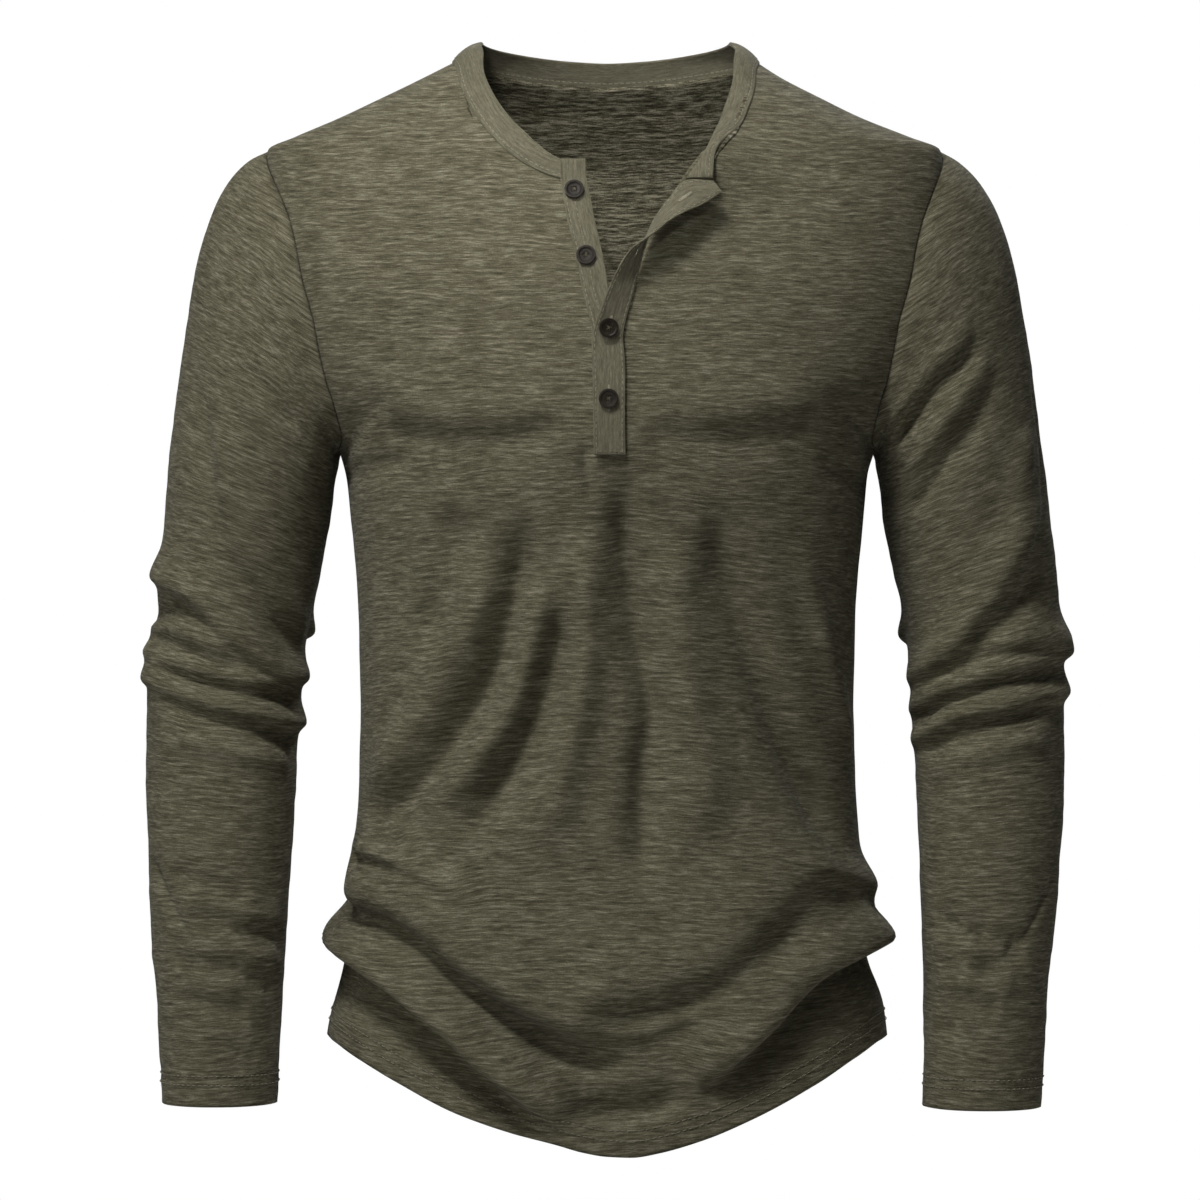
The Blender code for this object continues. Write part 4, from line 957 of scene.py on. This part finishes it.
def armhole(side, turn):
    """Points of the armhole at angles round the sleeve: 0 at the shoulder tip, 90 in front."""
    turn = np.asarray(turn, float) % 360
    front = turn <= 180
    share = np.abs(1 - turn / 180)
    angle = side * np.where(front, smooth(share, ARMHOLE, 2), smooth(share, ARMHOLE, 4))
    height = np.where(front, smooth(share, ARMHOLE, 1), smooth(share, ARMHOLE, 3))
    return body(np.where(front, angle, angle + (360 if side < 0 else 0)), height)[0]


def even_turns(side):
    """Angles round the sleeve from under the arm, over the shoulder and back, spread along the armhole."""
    step = np.linalg.norm(np.diff(armhole(side, WHOLE_TURN), axis=0), axis=1)
    run = np.concatenate([[0], np.cumsum(0.5 * step + 0.5 * step.mean())])
    return np.interp(np.linspace(0, run[-1], SLEEVE_COLUMNS + 1), run, WHOLE_TURN)


def sleeve_middle(table):
    middle = np.array([((r[0] + r[2]) / 2, (r[1] + r[3]) / 2) for r in table])
    return middle, run_of(middle)


def sleeve_surface(side, table):
    """Function from angle and length share to the plain sleeve surface."""
    run = sleeve_middle(table)[1]
    rows = tuple((place / run[-1],) + row for place, row in zip(run, table))
    superellipse = lambda wave: np.sign(wave) * np.abs(wave) ** (2 / SLEEVE_POWER)

    def plain(angle, share):
        c, s = superellipse(np.cos(np.radians(angle))), superellipse(np.sin(np.radians(angle)))
        ox, oz, ix, iz, y, h = (smooth(share, rows, k) for k in range(1, 7))
        x = side * ((ox + ix) / 2 + (ox - ix) / 2 * c)
        return np.stack([x, y - h * s, (oz + iz) / 2 + (oz - iz) / 2 * c], axis=-1)

    bridge = armhole(side, WHOLE_TURN) - plain(WHOLE_TURN, np.zeros(len(WHOLE_TURN)))

    def whole(angle, share):
        gap = np.stack([np.interp(angle, WHOLE_TURN, column) for column in bridge.T], axis=-1)
        return plain(angle, share) + gap * ease(np.clip(1 - share / CAP_FADE, 0, 1))[..., None]

    return whole


def course_height(points, side, table):
    """Distance down the sleeve of each point's row of knitting, which runs square to the arm, mm."""
    middle, run = sleeve_middle(table)
    lean = np.radians(smooth(run / run[-1], COURSE_LEAN, 1))
    flat = np.stack([side * points[..., 0], points[..., 2]], axis=-1)
    past = [(flat - middle[k]) @ (np.sin(lean[k]), -np.cos(lean[k])) for k in range(len(middle))]
    height = np.where(past[0] <= 0, past[0], run[-1] + np.maximum(past[-1], 0))
    found = past[0] <= 0
    for k in range(1, len(middle)):
        share = past[k - 1] / np.maximum(past[k - 1] - past[k], 1e-9)
        crossed = (past[k - 1] > 0) & (past[k] <= 0) & ~found
        height = np.where(crossed, run[k - 1] + np.clip(share, 0, 1) * (run[k] - run[k - 1]), height)
        found = found | crossed
    return height


def sleeve(name, side, table, folds, node):
    """Sleeve from armhole to cuff, and its grid of points."""
    whole = sleeve_surface(side, table)
    zones = spread(*SLEEVE_ZONES)
    angle, along = np.meshgrid(even_turns(side), zones)
    points = whole(angle, along)
    wide = whole(np.clip(angle + 3, -180, 180), along) - whole(np.clip(angle - 3, -180, 180), along)
    wide[:, 0] = wide[:, -1] = wide[:, 0] + wide[:, -1]
    tall = whole(angle, np.minimum(along + 0.01, 1)) - whole(angle, np.maximum(along - 0.01, 0))
    normals = unit(np.cross(wide, tall) * side)
    folds = in_mm(folds, SLEEVE_MM_PER_DEGREE, -SLEEVE_LENGTH)
    down = -along * SLEEVE_LENGTH
    push, sag = folds_round(angle, (0, 360), SLEEVE_MM_PER_DEGREE, down, folds, side * FOLD_SEED)
    keep = np.clip(along / 0.1, 0, 1)
    uneven = 0.8 * rough(points, 34, 2.0) + 0.4 * rough(points * (1, 1, 1.8), 15, 8.0)
    push = (push + SLEEVE_EASE + uneven * (0.6 + 0.6 * along)) * keep
    below_top = HEM_DEPTH - (1 - along) * SLEEVE_LENGTH * SLEEVE_STRETCH
    push += HEM_STEP * np.clip(below_top / 2.5, 0, 1)
    push += 0.3 * np.sin(angle * 0.8 + 1.2 * np.sin(angle * 0.11)) * bell(below_top, ROPE_WIDTH)
    push -= SEAM_DIP * bell((180 - np.abs(angle)) * SLEEVE_MM_PER_DEGREE, SEAM_WIDTH) * keep
    points = points + normals * push[..., None] - (sag * keep)[..., None] * UP
    top = np.linalg.norm(points - points[:1], axis=-1)
    points = points - normals * (SEAM_DIP * bell(top, SEAM_WIDTH) * (top > 0.01))[..., None]
    points[:, 0] = points[:, -1] = 0.5 * (points[:, 0] + points[:, -1])
    round_it = np.linalg.norm(np.diff(points, axis=1), axis=-1).sum(axis=1) / 360
    flat = np.stack([angle * round_it[:, None], -course_height(points, side, table)], axis=-1)
    quads = grid_faces(numbered(points))
    quads = quads[:, ::-1] if side < 0 else quads
    thing = mesh_of(name, points.reshape(-1, 3), quads, flat.reshape(-1, 2))
    with_bmesh(thing, close_seam)
    give_wall(thing, JERSEY_WALL)
    return finish_piece(thing, slub_cloth, "cloth", node), points


# Bands: neckband, button stand and placket.


def strip_normals(grid):
    return unit(np.cross(np.gradient(grid, axis=0), np.gradient(grid, axis=1)))


def bound_strip(name, node, sewn, free, wall, edge, crown=0.0, groove=(), arch=None):
    """Doubled strip between two edge lines, with rounded edges and a shallow groove along each seam."""
    share = STRIP_SHARES
    grid = sewn[:, None] * (1 - share[:, None]) + free[:, None] * share[:, None]
    if arch is not None:
        grid = grid - strip_normals(grid) * (arch[:, None] * 4 * share * (1 - share))[..., None]
    normal = strip_normals(grid)
    width = np.linalg.norm(free - sewn, axis=1)[:, None]
    from_edge = np.clip(np.minimum(share, 1 - share) * width / edge, 0, 1)
    half = 0.5 * wall * np.sqrt(np.clip(1 - (1 - from_edge) ** 2, 0.02, 1))
    half = half + crown * 4 * share * (1 - share)
    for place in groove:
        seam = place if place >= 0 else width + place
        half = half - GROOVE_DEPTH * bell(share * width - seam, GROOVE_WIDTH)
    run = run_of(grid[:, len(share) // 2])
    flat = np.stack([np.broadcast_to(run[:, None], half.shape), share * width], axis=-1).reshape(-1, 2)
    front = numbered(grid)
    back = front + front.size
    faces = grid_faces(front).tolist() + grid_faces(back)[:, ::-1].tolist()
    for line, far in (
        (front[0, ::-1], back[0, ::-1]),
        (front[-1], back[-1]),
        (front[:, 0], back[:, 0]),
        (front[::-1, -1], back[::-1, -1]),
    ):
        faces += np.stack([line[1:], line[:-1], far[:-1], far[1:]], axis=1).tolist()
    out = normal * half[..., None]
    points = np.concatenate([(grid + out).reshape(-1, 3), (grid - out).reshape(-1, 3)])
    uv = np.concatenate([flat, flat + (0, UNDERSIDE_UV)])
    return solid_of(name, points, faces, trim_cloth, "trim", node, uv=uv), grid, normal


def neck_lines():
    """Sewn and top edge of the neckband, from the button stand round the back to the turned-over end."""
    sewn, top = [], []
    for side, mirror, neck, band, shares in (
        (-1, 1, NECK_RIGHT, BAND_RIGHT, np.linspace(BAND_RIGHT[0][0], 1, 34)),
        (-1, 1, NECK_BACK, BAND_BACK, np.linspace(1, 0, 34)[1:]),
        (1, -1, NECK_BACK, BAND_BACK, np.linspace(0, 1, 34)[1:-1]),
        (1, 1, NECK_LEFT, BAND_LEFT, np.linspace(1, BAND_TURN_SHARE, 24)),
    ):
        angle = side * smooth(shares, neck, 1) + (360 if side < 0 and neck is NECK_BACK else 0)
        points, normals = body(angle, smooth(shares, neck, 2))
        step = np.stack([smooth(shares, band, k) for k in (1, 2, 3)], axis=1) * (mirror, 1, 1)
        sewn.extend(points + normals * BAND_LIFT - unit(step) * BAND_OVERLAP)
        top.extend(points + step)
    sewn, top = (
        np.concatenate([line, through([line[-1]] + [row[k] for row in BAND_TURN], TURN_POINTS)[1:]])
        for k, line in enumerate((sewn, top))
    )
    return even_lines(sewn, top, BAND_ROWS, BAND_SOFTENING)


def band_arch(top):
    """How far the neckband bows outwards across its width, mm: most where it rounds the neck points."""
    run = run_of(top)
    arch = np.full(len(top), BAND_BOW)
    for side in (-1, 1):
        peak = run[np.argmax(np.where(side * top[:, 0] > 0, top[:, 2], -np.inf))]
        arch += NECK_POINT_BOW * bell(run - peak, NECK_POINT_SPREAD)
    return arch


def stand_line(column):
    """One edge of the strip on the wearer's right front edge that carries the upper buttons."""
    z, x = np.array([(row[0], row[column]) for row in STAND], float).T
    low = np.minimum(z, STAND_BEND_Z)
    points, normals = body(angle_of_x(x, low), low)
    place = points + normals * (LAYER_GAP + STAND_WALL / 2) + np.outer(z - low, (0, TAB_LEAN, 1))
    return through(place, LINE_POINTS)


# Stitches.


def wave(share):
    turn = 2 * math.pi * share
    return math.cos(turn), math.sin(turn)


def tube_faces(rings, sides, first=0, looped=False):
    """Faces round a tube whose rings of points follow each other, with flat ends unless it is a loop."""
    faces = []
    for r in range(rings if looped else rings - 1):
        a, b = first + r * sides, first + (r + 1) % rings * sides
        faces += [(a + k, a + (k + 1) % sides, b + (k + 1) % sides, b + k) for k in range(sides)]
    if not looped:
        faces.append(tuple(first + k for k in reversed(range(sides))))
        faces.append(tuple(first + (rings - 1) * sides + k for k in range(sides)))
    return faces


def stitches(name, line, facing, length=2.9, gap=1.1, radius=0.33, lift=0.13, sides=6, finish=None):
    """Row of short stitches of thread laid on a line, each sunk at its ends."""
    facing = unit(facing)
    run = run_of(line)
    at = lambda place, rows: np.array([np.interp(place, run, column) for column in rows.T])
    points, faces = [], []
    place = gap
    while place + length < run[-1]:
        start, end = at(place, line), at(place + length, line)
        up, ahead = unit(at(place + length / 2, facing)), unit(end - start)
        across = np.cross(up, ahead)
        faces += tube_faces(len(STITCH_RINGS), sides, len(points))
        for share, wide, high in STITCH_RINGS:
            centre = start + (end - start) * share + up * (high * radius + lift)
            for k in range(sides):
                c, s = wave(k / sides)
                points.append(centre + radius * wide * (c * across + s * up))
        place += length + gap
    return solid_of(name, points, faces, *(finish or (thread, "trim")))


def row_above_edge(grid, distance):
    """Line at a set distance from a grid's first row, and the direction square to it and to the cloth."""
    run = np.cumsum(np.linalg.norm(np.diff(grid, axis=0), axis=-1), axis=0)
    run = np.concatenate([np.zeros((1, grid.shape[1])), run])
    out = np.array([
        [np.interp(distance, run[:, j], grid[:, j, k]) for k in range(3)] for j in range(grid.shape[1])
    ])
    row = max(int(np.searchsorted(run[:, 0], distance)), 1)
    return out, unit(np.cross(np.gradient(out, axis=0), grid[row + 1] - grid[row - 1]))


def hem_stitches(word, grids, behind):
    made = []
    for side, grid in grids.items():
        for number, height in enumerate(HEM_STITCH_ROWS, 1):
            line, facing = row_above_edge(grid, height)
            facing = -facing if (side < 0) != behind else facing
            name = f"hem_{word}_{'left' if side > 0 else 'right'}_{number}_stitches"
            made.append(stitches(name, line, facing, lift=HEM_STITCH_LIFT))
    return made


def cuff_stitches(word, grid):
    made = []
    for number, height in enumerate(CUFF_STITCH_ROWS, 1):
        line, facing = row_above_edge(grid[::-1], height)
        inward = (facing * (line - line.mean(axis=0))).sum(axis=1, keepdims=True) < 0
        facing = np.where(inward, -facing, facing)
        made.append(stitches(f"cuff_{word}_{number}_stitches", line, facing, lift=HEM_STITCH_LIFT))
    return made


def strip_line(grid, distance):
    """Line along a strip, a set distance in from its sewn edge, or from its free edge if below zero."""
    width = np.linalg.norm(grid[:, -1] - grid[:, 0], axis=1)
    share = distance / width if distance >= 0 else 1 + distance / width
    cell = np.clip(np.searchsorted(STRIP_SHARES, share) - 1, 0, len(STRIP_SHARES) - 2)
    part = (share - STRIP_SHARES[cell]) / (STRIP_SHARES[cell + 1] - STRIP_SHARES[cell])
    row = np.arange(len(grid))
    return grid[row, cell] * (1 - part[:, None]) + grid[row, cell + 1] * part[:, None]


def strip_stitches(name, grid, normal, distance, wall, face, rows=slice(None)):
    facing = face * normal[:, normal.shape[1] // 2]
    line = strip_line(grid, distance) + facing * (wall / 2 - STITCH_SINK)
    return stitches(name, line[rows], facing[rows])


# Finishes.


def node_of(tree, kind, *inputs, **values):
    """New node: its settings first, then each input as a number or linked from another node's output."""
    made = tree.nodes.new(kind)
    given = dict(enumerate(inputs))
    for name, value in values.items():
        if name in made.inputs:
            given[name] = value
        else:
            setattr(made, name, value)
    for name, value in given.items():
        if isinstance(value, bpy.types.NodeSocket):
            tree.links.new(value, made.inputs[name])
        else:
            made.inputs[name].default_value = value
    return made


def new_finish(name, **values):
    made = bpy.data.materials.new(name)
    made.use_nodes = True
    surface = made.node_tree.nodes["Principled BSDF"]
    for word, value in values.items():
        surface.inputs[word.replace("_", " ")].default_value = value
    return made, made.node_tree, surface


def tone_ramp(tree, factor, tones):
    ramp = node_of(tree, "ShaderNodeValToRGB", factor)
    ends = ramp.color_ramp.elements
    for stop, (place, tone) in zip(ends, (tones[0], tones[-1])):
        stop.position, stop.color = place, (*tone, 1)
    for place, tone in tones[1:-1]:
        ends.new(place).color = (*tone, 1)
    return ramp.outputs["Color"]


def cloth_finish(name, tones, streak, fine, wander=0.006, bump=0.5):
    """Slub knit: uneven yarn in short streaks along the courses, in tones from dark to light."""
    made, tree, surface = new_finish(
        name, Roughness=0.93, Specular_IOR_Level=0.12, Sheen_Weight=0.05, Sheen_Roughness=0.5
    )
    flat = node_of(tree, "ShaderNodeUVMap", uv_map="cloth").outputs["UV"]
    drift = node_of(tree, "ShaderNodeTexNoise", Vector=flat, Scale=22.0, Detail=1.0).outputs["Color"]
    mean, sway = (0.5, 0.5, 0.5), (0.0, wander, 0.0)
    centred = node_of(tree, "ShaderNodeVectorMath", drift, mean, operation="SUBTRACT").outputs[0]
    place = node_of(tree, "ShaderNodeVectorMath", centred, sway, flat, operation="MULTIPLY_ADD").outputs[0]

    def yarn(scale, shift, detail, rough_share):
        spot = node_of(
            tree, "ShaderNodeMapping", Vector=place, Scale=(*scale, 1.0), Location=(shift, shift * 2, 0)
        ).outputs["Vector"]
        grain = {"Vector": spot, "Scale": 1.0, "Detail": detail, "Roughness": rough_share}
        return node_of(tree, "ShaderNodeTexNoise", **grain).outputs["Fac"]

    def multiply_add(*inputs):
        return node_of(tree, "ShaderNodeMath", *inputs, operation="MULTIPLY_ADD").outputs[0]

    def sum_of(*pairs):
        total = 0.0
        for source, weight in pairs:
            total = multiply_add(source, weight, total)
        return total

    slubs = yarn(streak, 3.0, 2.0, 0.6)
    threads = yarn(fine, 11.0, 2.0, 0.6)
    bands = yarn((streak[0] * 0.3, streak[1] * 0.16), 23.0, 2.0, 0.5)
    loops = yarn((950.0, 1300.0), 5.0, 1.0, 0.5)
    shade = sum_of((slubs, 0.42), (threads, 0.36), (bands, 0.08), (loops, 0.14))
    inside = node_of(tree, "ShaderNodeAttribute", attribute_name="inside").outputs["Fac"]
    away = node_of(tree, "ShaderNodeMath", shade, MIDDLE_TONE, operation="SUBTRACT").outputs[0]
    shade = multiply_add(away, sum_of((inside, INSIDE_CONTRAST)), shade)
    tree.links.new(tone_ramp(tree, shade, tones), surface.inputs["Base Color"])
    height = sum_of((slubs, 0.4), (threads, 0.4), (loops, 0.2))
    relief = node_of(tree, "ShaderNodeBump", Height=height, Strength=bump, Distance=0.0012)
    tree.links.new(relief.outputs["Normal"], surface.inputs["Normal"])
    return made


def plain_finish(name, colour, roughness, specular, grain, contrast=0.2):
    """One colour with a little unevenness."""
    made, tree, surface = new_finish(name, Roughness=roughness, Specular_IOR_Level=specular)
    where = node_of(tree, "ShaderNodeTexCoord").outputs["Object"]
    grit = node_of(tree, "ShaderNodeTexNoise", Vector=where, Scale=grain, Detail=3.0).outputs["Fac"]
    shares = ((0.35, 1 - contrast), (0.65, 1 + contrast))
    tones = [(place, [c * share for c in colour]) for place, share in shares]
    tree.links.new(tone_ramp(tree, grit, tones), surface.inputs["Base Color"])
    return made


slub_cloth = cloth_finish("olive_slub_jersey", OLIVE, (52.0, 560.0), (150.0, 1500.0))
trim_cloth = cloth_finish(
    "olive_trim_jersey", OLIVE_TRIM, (90.0, 700.0), (260.0, 1500.0), wander=0.001, bump=0.35
)
thread = plain_finish("olive_sewing_thread", (0.235, 0.218, 0.156), 0.75, 0.25, 900.0)
dark_thread = plain_finish("button_thread", (0.110, 0.100, 0.066), 0.7, 0.25, 900.0)
# Near-black painted shade for the buttonhole slits.
slit_shade = plain_finish("buttonhole_shade", (0.012, 0.010, 0.007), 0.95, 0.1, 900.0)
button_horn = plain_finish("dark_brown_button", (0.017, 0.013, 0.008), 0.5, 0.22, 420.0, 0.35)

# Body and sleeves.

BODY_FOLDS_MM = in_mm(BODY_FOLDS, MM_PER_DEGREE, 1)
front, front_grids = panel("shirt_front", False, "front_panel")
back, back_grids = panel("shirt_back", True, "back_panel")
right_sleeve, right_grid = sleeve(
    "shirt_sleeve_right", -1, SLEEVE_RIGHT, RIGHT_SLEEVE_FOLDS, "sleeve_right"
)
left_sleeve, left_grid = sleeve("shirt_sleeve_left", 1, SLEEVE_LEFT, LEFT_SLEEVE_FOLDS, "sleeve_left")
front_hem = hem_stitches("front", front_grids, False)
back_hem = hem_stitches("back", back_grids, True)
right_cuff = cuff_stitches("right", right_grid)
left_cuff = cuff_stitches("left", left_grid)

# Neckband, button stand and placket.

neck_sewn, neck_top = neck_lines()
band, *band_form = bound_strip(
    "neck_binding", "neckband", neck_sewn, neck_top, BAND_WALL, edge=1.0, crown=0.15,
    groove=(BAND_SEAM,), arch=band_arch(neck_top),
)
band_stitches = [
    strip_stitches(f"neck_binding_stitches_{word}", *band_form, BAND_SEAM, BAND_WALL, face)
    for word, face in (("outer", -1), ("inner", 1))
]
stand, *stand_form = bound_strip(
    "front_button_stand", "button_stand", stand_line(1), stand_line(2), STAND_WALL, edge=0.6,
    groove=(2.0, 8.0),
)
below_tab = slice(STAND_TAB_ROWS, None)
stand_stitches = [
    strip_stitches(f"button_stand_stitches_{k}", *stand_form, place, STAND_WALL, 1, below_tab)
    for k, place in ((1, 2.0), (2, 7.5))
]
placket_edges = [through([row[k] for row in PLACKET], LINE_POINTS) for k in (0, 1)]
placket, *placket_form = bound_strip(
    "front_placket", "placket", *even_lines(*placket_edges, PLACKET_ROWS, PLACKET_SOFTENING), PLACKET_WALL,
    edge=0.7, groove=(PLACKET_SEAM, -PLACKET_SEAM),
)
placket_grid, placket_normal = placket_form
turned_over = slice(PLACKET_TURN_ROW, None)
placket_stitches = [
    strip_stitches(f"placket_stitches_{word}", *placket_form, place, PLACKET_WALL, face, rows)
    for word, place, face, rows in (
        ("sewn", PLACKET_SEAM, 1, slice(None)),
        ("sewn_reverse", PLACKET_SEAM, -1, turned_over),
        ("free", -PLACKET_SEAM, 1, slice(None)),
        ("free_reverse", -PLACKET_SEAM, -1, turned_over),
    )
]
foot_row = int(np.argmin(np.abs(placket_grid[:40, 0, 2] - placket_grid[0, 0, 2] - FOOT_SEAM)))
foot_up = placket_normal[foot_row, 1:-1]
foot_line = placket_grid[foot_row, 1:-1] + foot_up * (PLACKET_WALL / 2 - 0.1)
placket_stitches.append(stitches("placket_foot_stitches", foot_line, foot_up, length=2.4))

# Buttonholes.


def buttonhole(name, centre, along, facing, length, gape):
    """Raised ring of close stitching round a slit, with a dark sheet of painted shade filling the slit
    inside it.
    """
    facing = unit(facing)
    along = unit(along - facing * (along @ facing))
    across = np.cross(facing, along)
    points = []
    for i in range(RING_COUNT):
        c, s = wave(i / RING_COUNT)
        spot = centre + along * (length / 2 * c) + across * (gape * math.copysign(abs(s) ** 0.6, s))
        out = unit(along * c * 0.6 + across * s)
        ridge = 0.55 + 0.05 * (i % 2)
        for k in range(RING_SIDES):
            c, s = wave(k / RING_SIDES)
            points.append(spot + out * RING_WIDTH * c + facing * ridge * s)
    ring = solid_of(name, points, tube_faces(RING_COUNT, RING_SIDES, looped=True), thread)
    # The slit is a thin near-black sheet: painted shade where the opening would show shadowed cloth.
    lens = []
    for t in np.linspace(-1, 1, SLIT_RINGS):
        wide = max(gape * 1.2 * (1 - t * t) ** 0.6, 0.05)
        for edge, high in ((-1, 0.18), (1, 0.18), (1, -0.3), (-1, -0.3)):
            lens.append(centre + along * t * length * 0.47 + across * edge * wide + facing * high)
    return [ring, solid_of(name + "_slit", lens, tube_faces(SLIT_RINGS, 4), slit_shade)]


holes = []
middle = placket_grid.shape[1] // 2
for number, (x, z, length, face, gape) in enumerate(BUTTONHOLES, 1):
    row = int(np.argmin(np.hypot(placket_grid[:, middle, 0] - x, placket_grid[:, middle, 2] - z)))
    facing = face * placket_normal[row, middle]
    spot = placket_grid[row, middle] + facing * (PLACKET_WALL / 2 + 0.05)
    along = placket_grid[row + 2, middle] - placket_grid[row - 2, middle]
    holes += buttonhole(f"buttonhole_{number}", spot, along, facing, length, gape)

# Buttons.


def turned_button():
    """Disc with a raised rim and a sunk middle pierced four times, lying flat on the origin."""
    select_only(None)
    bpy.ops.mesh.primitive_cylinder_add(
        vertices=56, radius=BUTTON_RADIUS * MM, depth=BUTTON_THICK * MM,
        location=(0, 0, BUTTON_THICK / 2 * MM),
    )
    disc = bpy.context.active_object
    disc.name = "button_pattern"
    bpy.ops.object.transform_apply(location=True, rotation=False, scale=False)
    bpy.ops.object.mode_set(mode="EDIT")
    bpy.ops.mesh.select_mode(type="FACE")
    for face in bmesh.from_edit_mesh(disc.data).faces:
        face.select = face.normal.z > 0.9
    bmesh.update_edit_mesh(disc.data)
    bpy.ops.mesh.inset(thickness=BUTTON_RIM * MM)
    bpy.ops.mesh.inset(thickness=BUTTON_RIM * 0.75 * MM)
    bpy.ops.transform.translate(value=(0, 0, -BUTTON_WELL * MM))
    bpy.ops.mesh.select_all(action="DESELECT")
    bpy.ops.object.mode_set(mode="OBJECT")
    for k in range(4):
        c, s = wave((k + 0.5) / 4)
        select_only(None)
        bpy.ops.mesh.primitive_cylinder_add(
            vertices=16, radius=HOLE_RADIUS * MM, depth=4 * BUTTON_THICK * MM,
            location=(HOLE_OFFSET * c * MM, HOLE_OFFSET * s * MM, 0),
        )
        drill = bpy.context.active_object
        applied(disc, "BOOLEAN", operation="DIFFERENCE", solver="EXACT", object=drill)
        bpy.data.objects.remove(drill)
    applied(
        disc, "BEVEL", width=BUTTON_ROUND * MM, segments=3, limit_method="ANGLE",
        angle_limit=math.radians(28),
    )
    bpy.ops.object.shade_smooth_by_angle(angle=math.radians(32))
    return disc


def button_place(x, z, stack, tilt_x, tilt_z, spin):
    """Centre of a button's underside, and its own axes as the columns of a matrix."""
    height = np.array([z])
    base, normals = body(angle_of_x(np.array([x]), height), height)
    facing = unit(normals[0] + (tilt_x, 0, -tilt_z))
    right = unit(np.cross(UP, facing))
    turn = np.stack([right, np.cross(facing, right), facing], axis=1)
    return base[0] + normals[0] * stack, turn @ np.array(Matrix.Rotation(math.radians(spin), 3, "Z"))


pattern = turned_button()
for name, *where in BUTTONS:
    place, turn = button_place(*where)
    whole = Matrix(turn.tolist()).to_4x4()
    whole.translation = Vector(place * MM)
    disc = bpy.data.objects.new(name + "_disc", pattern.data.copy())
    bpy.context.scene.collection.objects.link(disc)
    disc.data.transform(whole)
    finish_piece(disc, button_horn, "button", name)
    for k in range(2):
        reach = np.array([*wave((k + 0.5) / 4), 0]) * THREAD_REACH
        level = np.array([0, 0, BUTTON_THICK - BUTTON_WELL - 0.05 + 0.18 * k])
        ends = np.array([place + turn @ (level - reach), place + turn @ (level + reach)])
        stitches(
            f"{name}_thread_{k + 1}", ends, np.array([turn[:, 2], turn[:, 2]]),
            length=THREAD_LENGTH, gap=0.02, radius=0.42, lift=-0.15, sides=8, finish=(dark_thread, "button"),
        )
bpy.data.objects.remove(pattern)

# Floor, light and camera.


def pale_floor():
    select_only(None)
    bpy.ops.mesh.primitive_circle_add(vertices=96, radius=1.35, fill_type="NGON", location=(0, 0, FLOOR_Z))
    floor = bpy.context.active_object
    floor.name = "studio_floor"
    floor.data.materials.append(plain_finish("pale_floor", (0.93, 0.93, 0.92), 0.7, 0.2, 4.0, 0.01))


def softbox(name, place, target, width, height, power, spread_angle):
    """Soft light whose grid narrows it to the given angle."""
    lamp = bpy.data.lights.new(name, "AREA")
    lamp.shape = "RECTANGLE"
    lamp.size, lamp.size_y = width, height
    lamp.energy = power
    lamp.spread = math.radians(spread_angle)
    holder = bpy.data.objects.new(name, lamp)
    holder.location = place
    holder.rotation_euler = (Vector(target) - Vector(place)).to_track_quat("-Z", "Y").to_euler()
    bpy.context.scene.collection.objects.link(holder)


def white_surround(light, seen):
    """Dim even light all round, with plain white behind the object."""
    world = bpy.data.worlds.new("surround")
    bpy.context.scene.world = world
    world.use_nodes = True
    tree = world.node_tree
    tree.nodes.clear()
    to_camera = node_of(tree, "ShaderNodeLightPath").outputs["Is Camera Ray"]
    glow = lambda power: node_of(tree, "ShaderNodeBackground", (1, 1, 1, 1), power).outputs["Background"]
    mix = node_of(tree, "ShaderNodeMixShader", to_camera, glow(light), glow(seen))
    node_of(tree, "ShaderNodeOutputWorld", mix.outputs["Shader"])


pale_floor()
for light in LIGHTS:
    softbox(*light)
white_surround(0.10, 1.0)
bpy.context.scene.view_settings.view_transform = "Standard"

lens = bpy.data.cameras.new("camera")
lens.lens, lens.sensor_width = 143.3, 36.0
camera = bpy.data.objects.new("camera", lens)
camera.location = (-0.0047, -3.2, -0.3605)
camera.rotation_euler = (math.pi / 2, 0, 0)
bpy.context.scene.collection.objects.link(camera)
bpy.context.scene.camera = camera
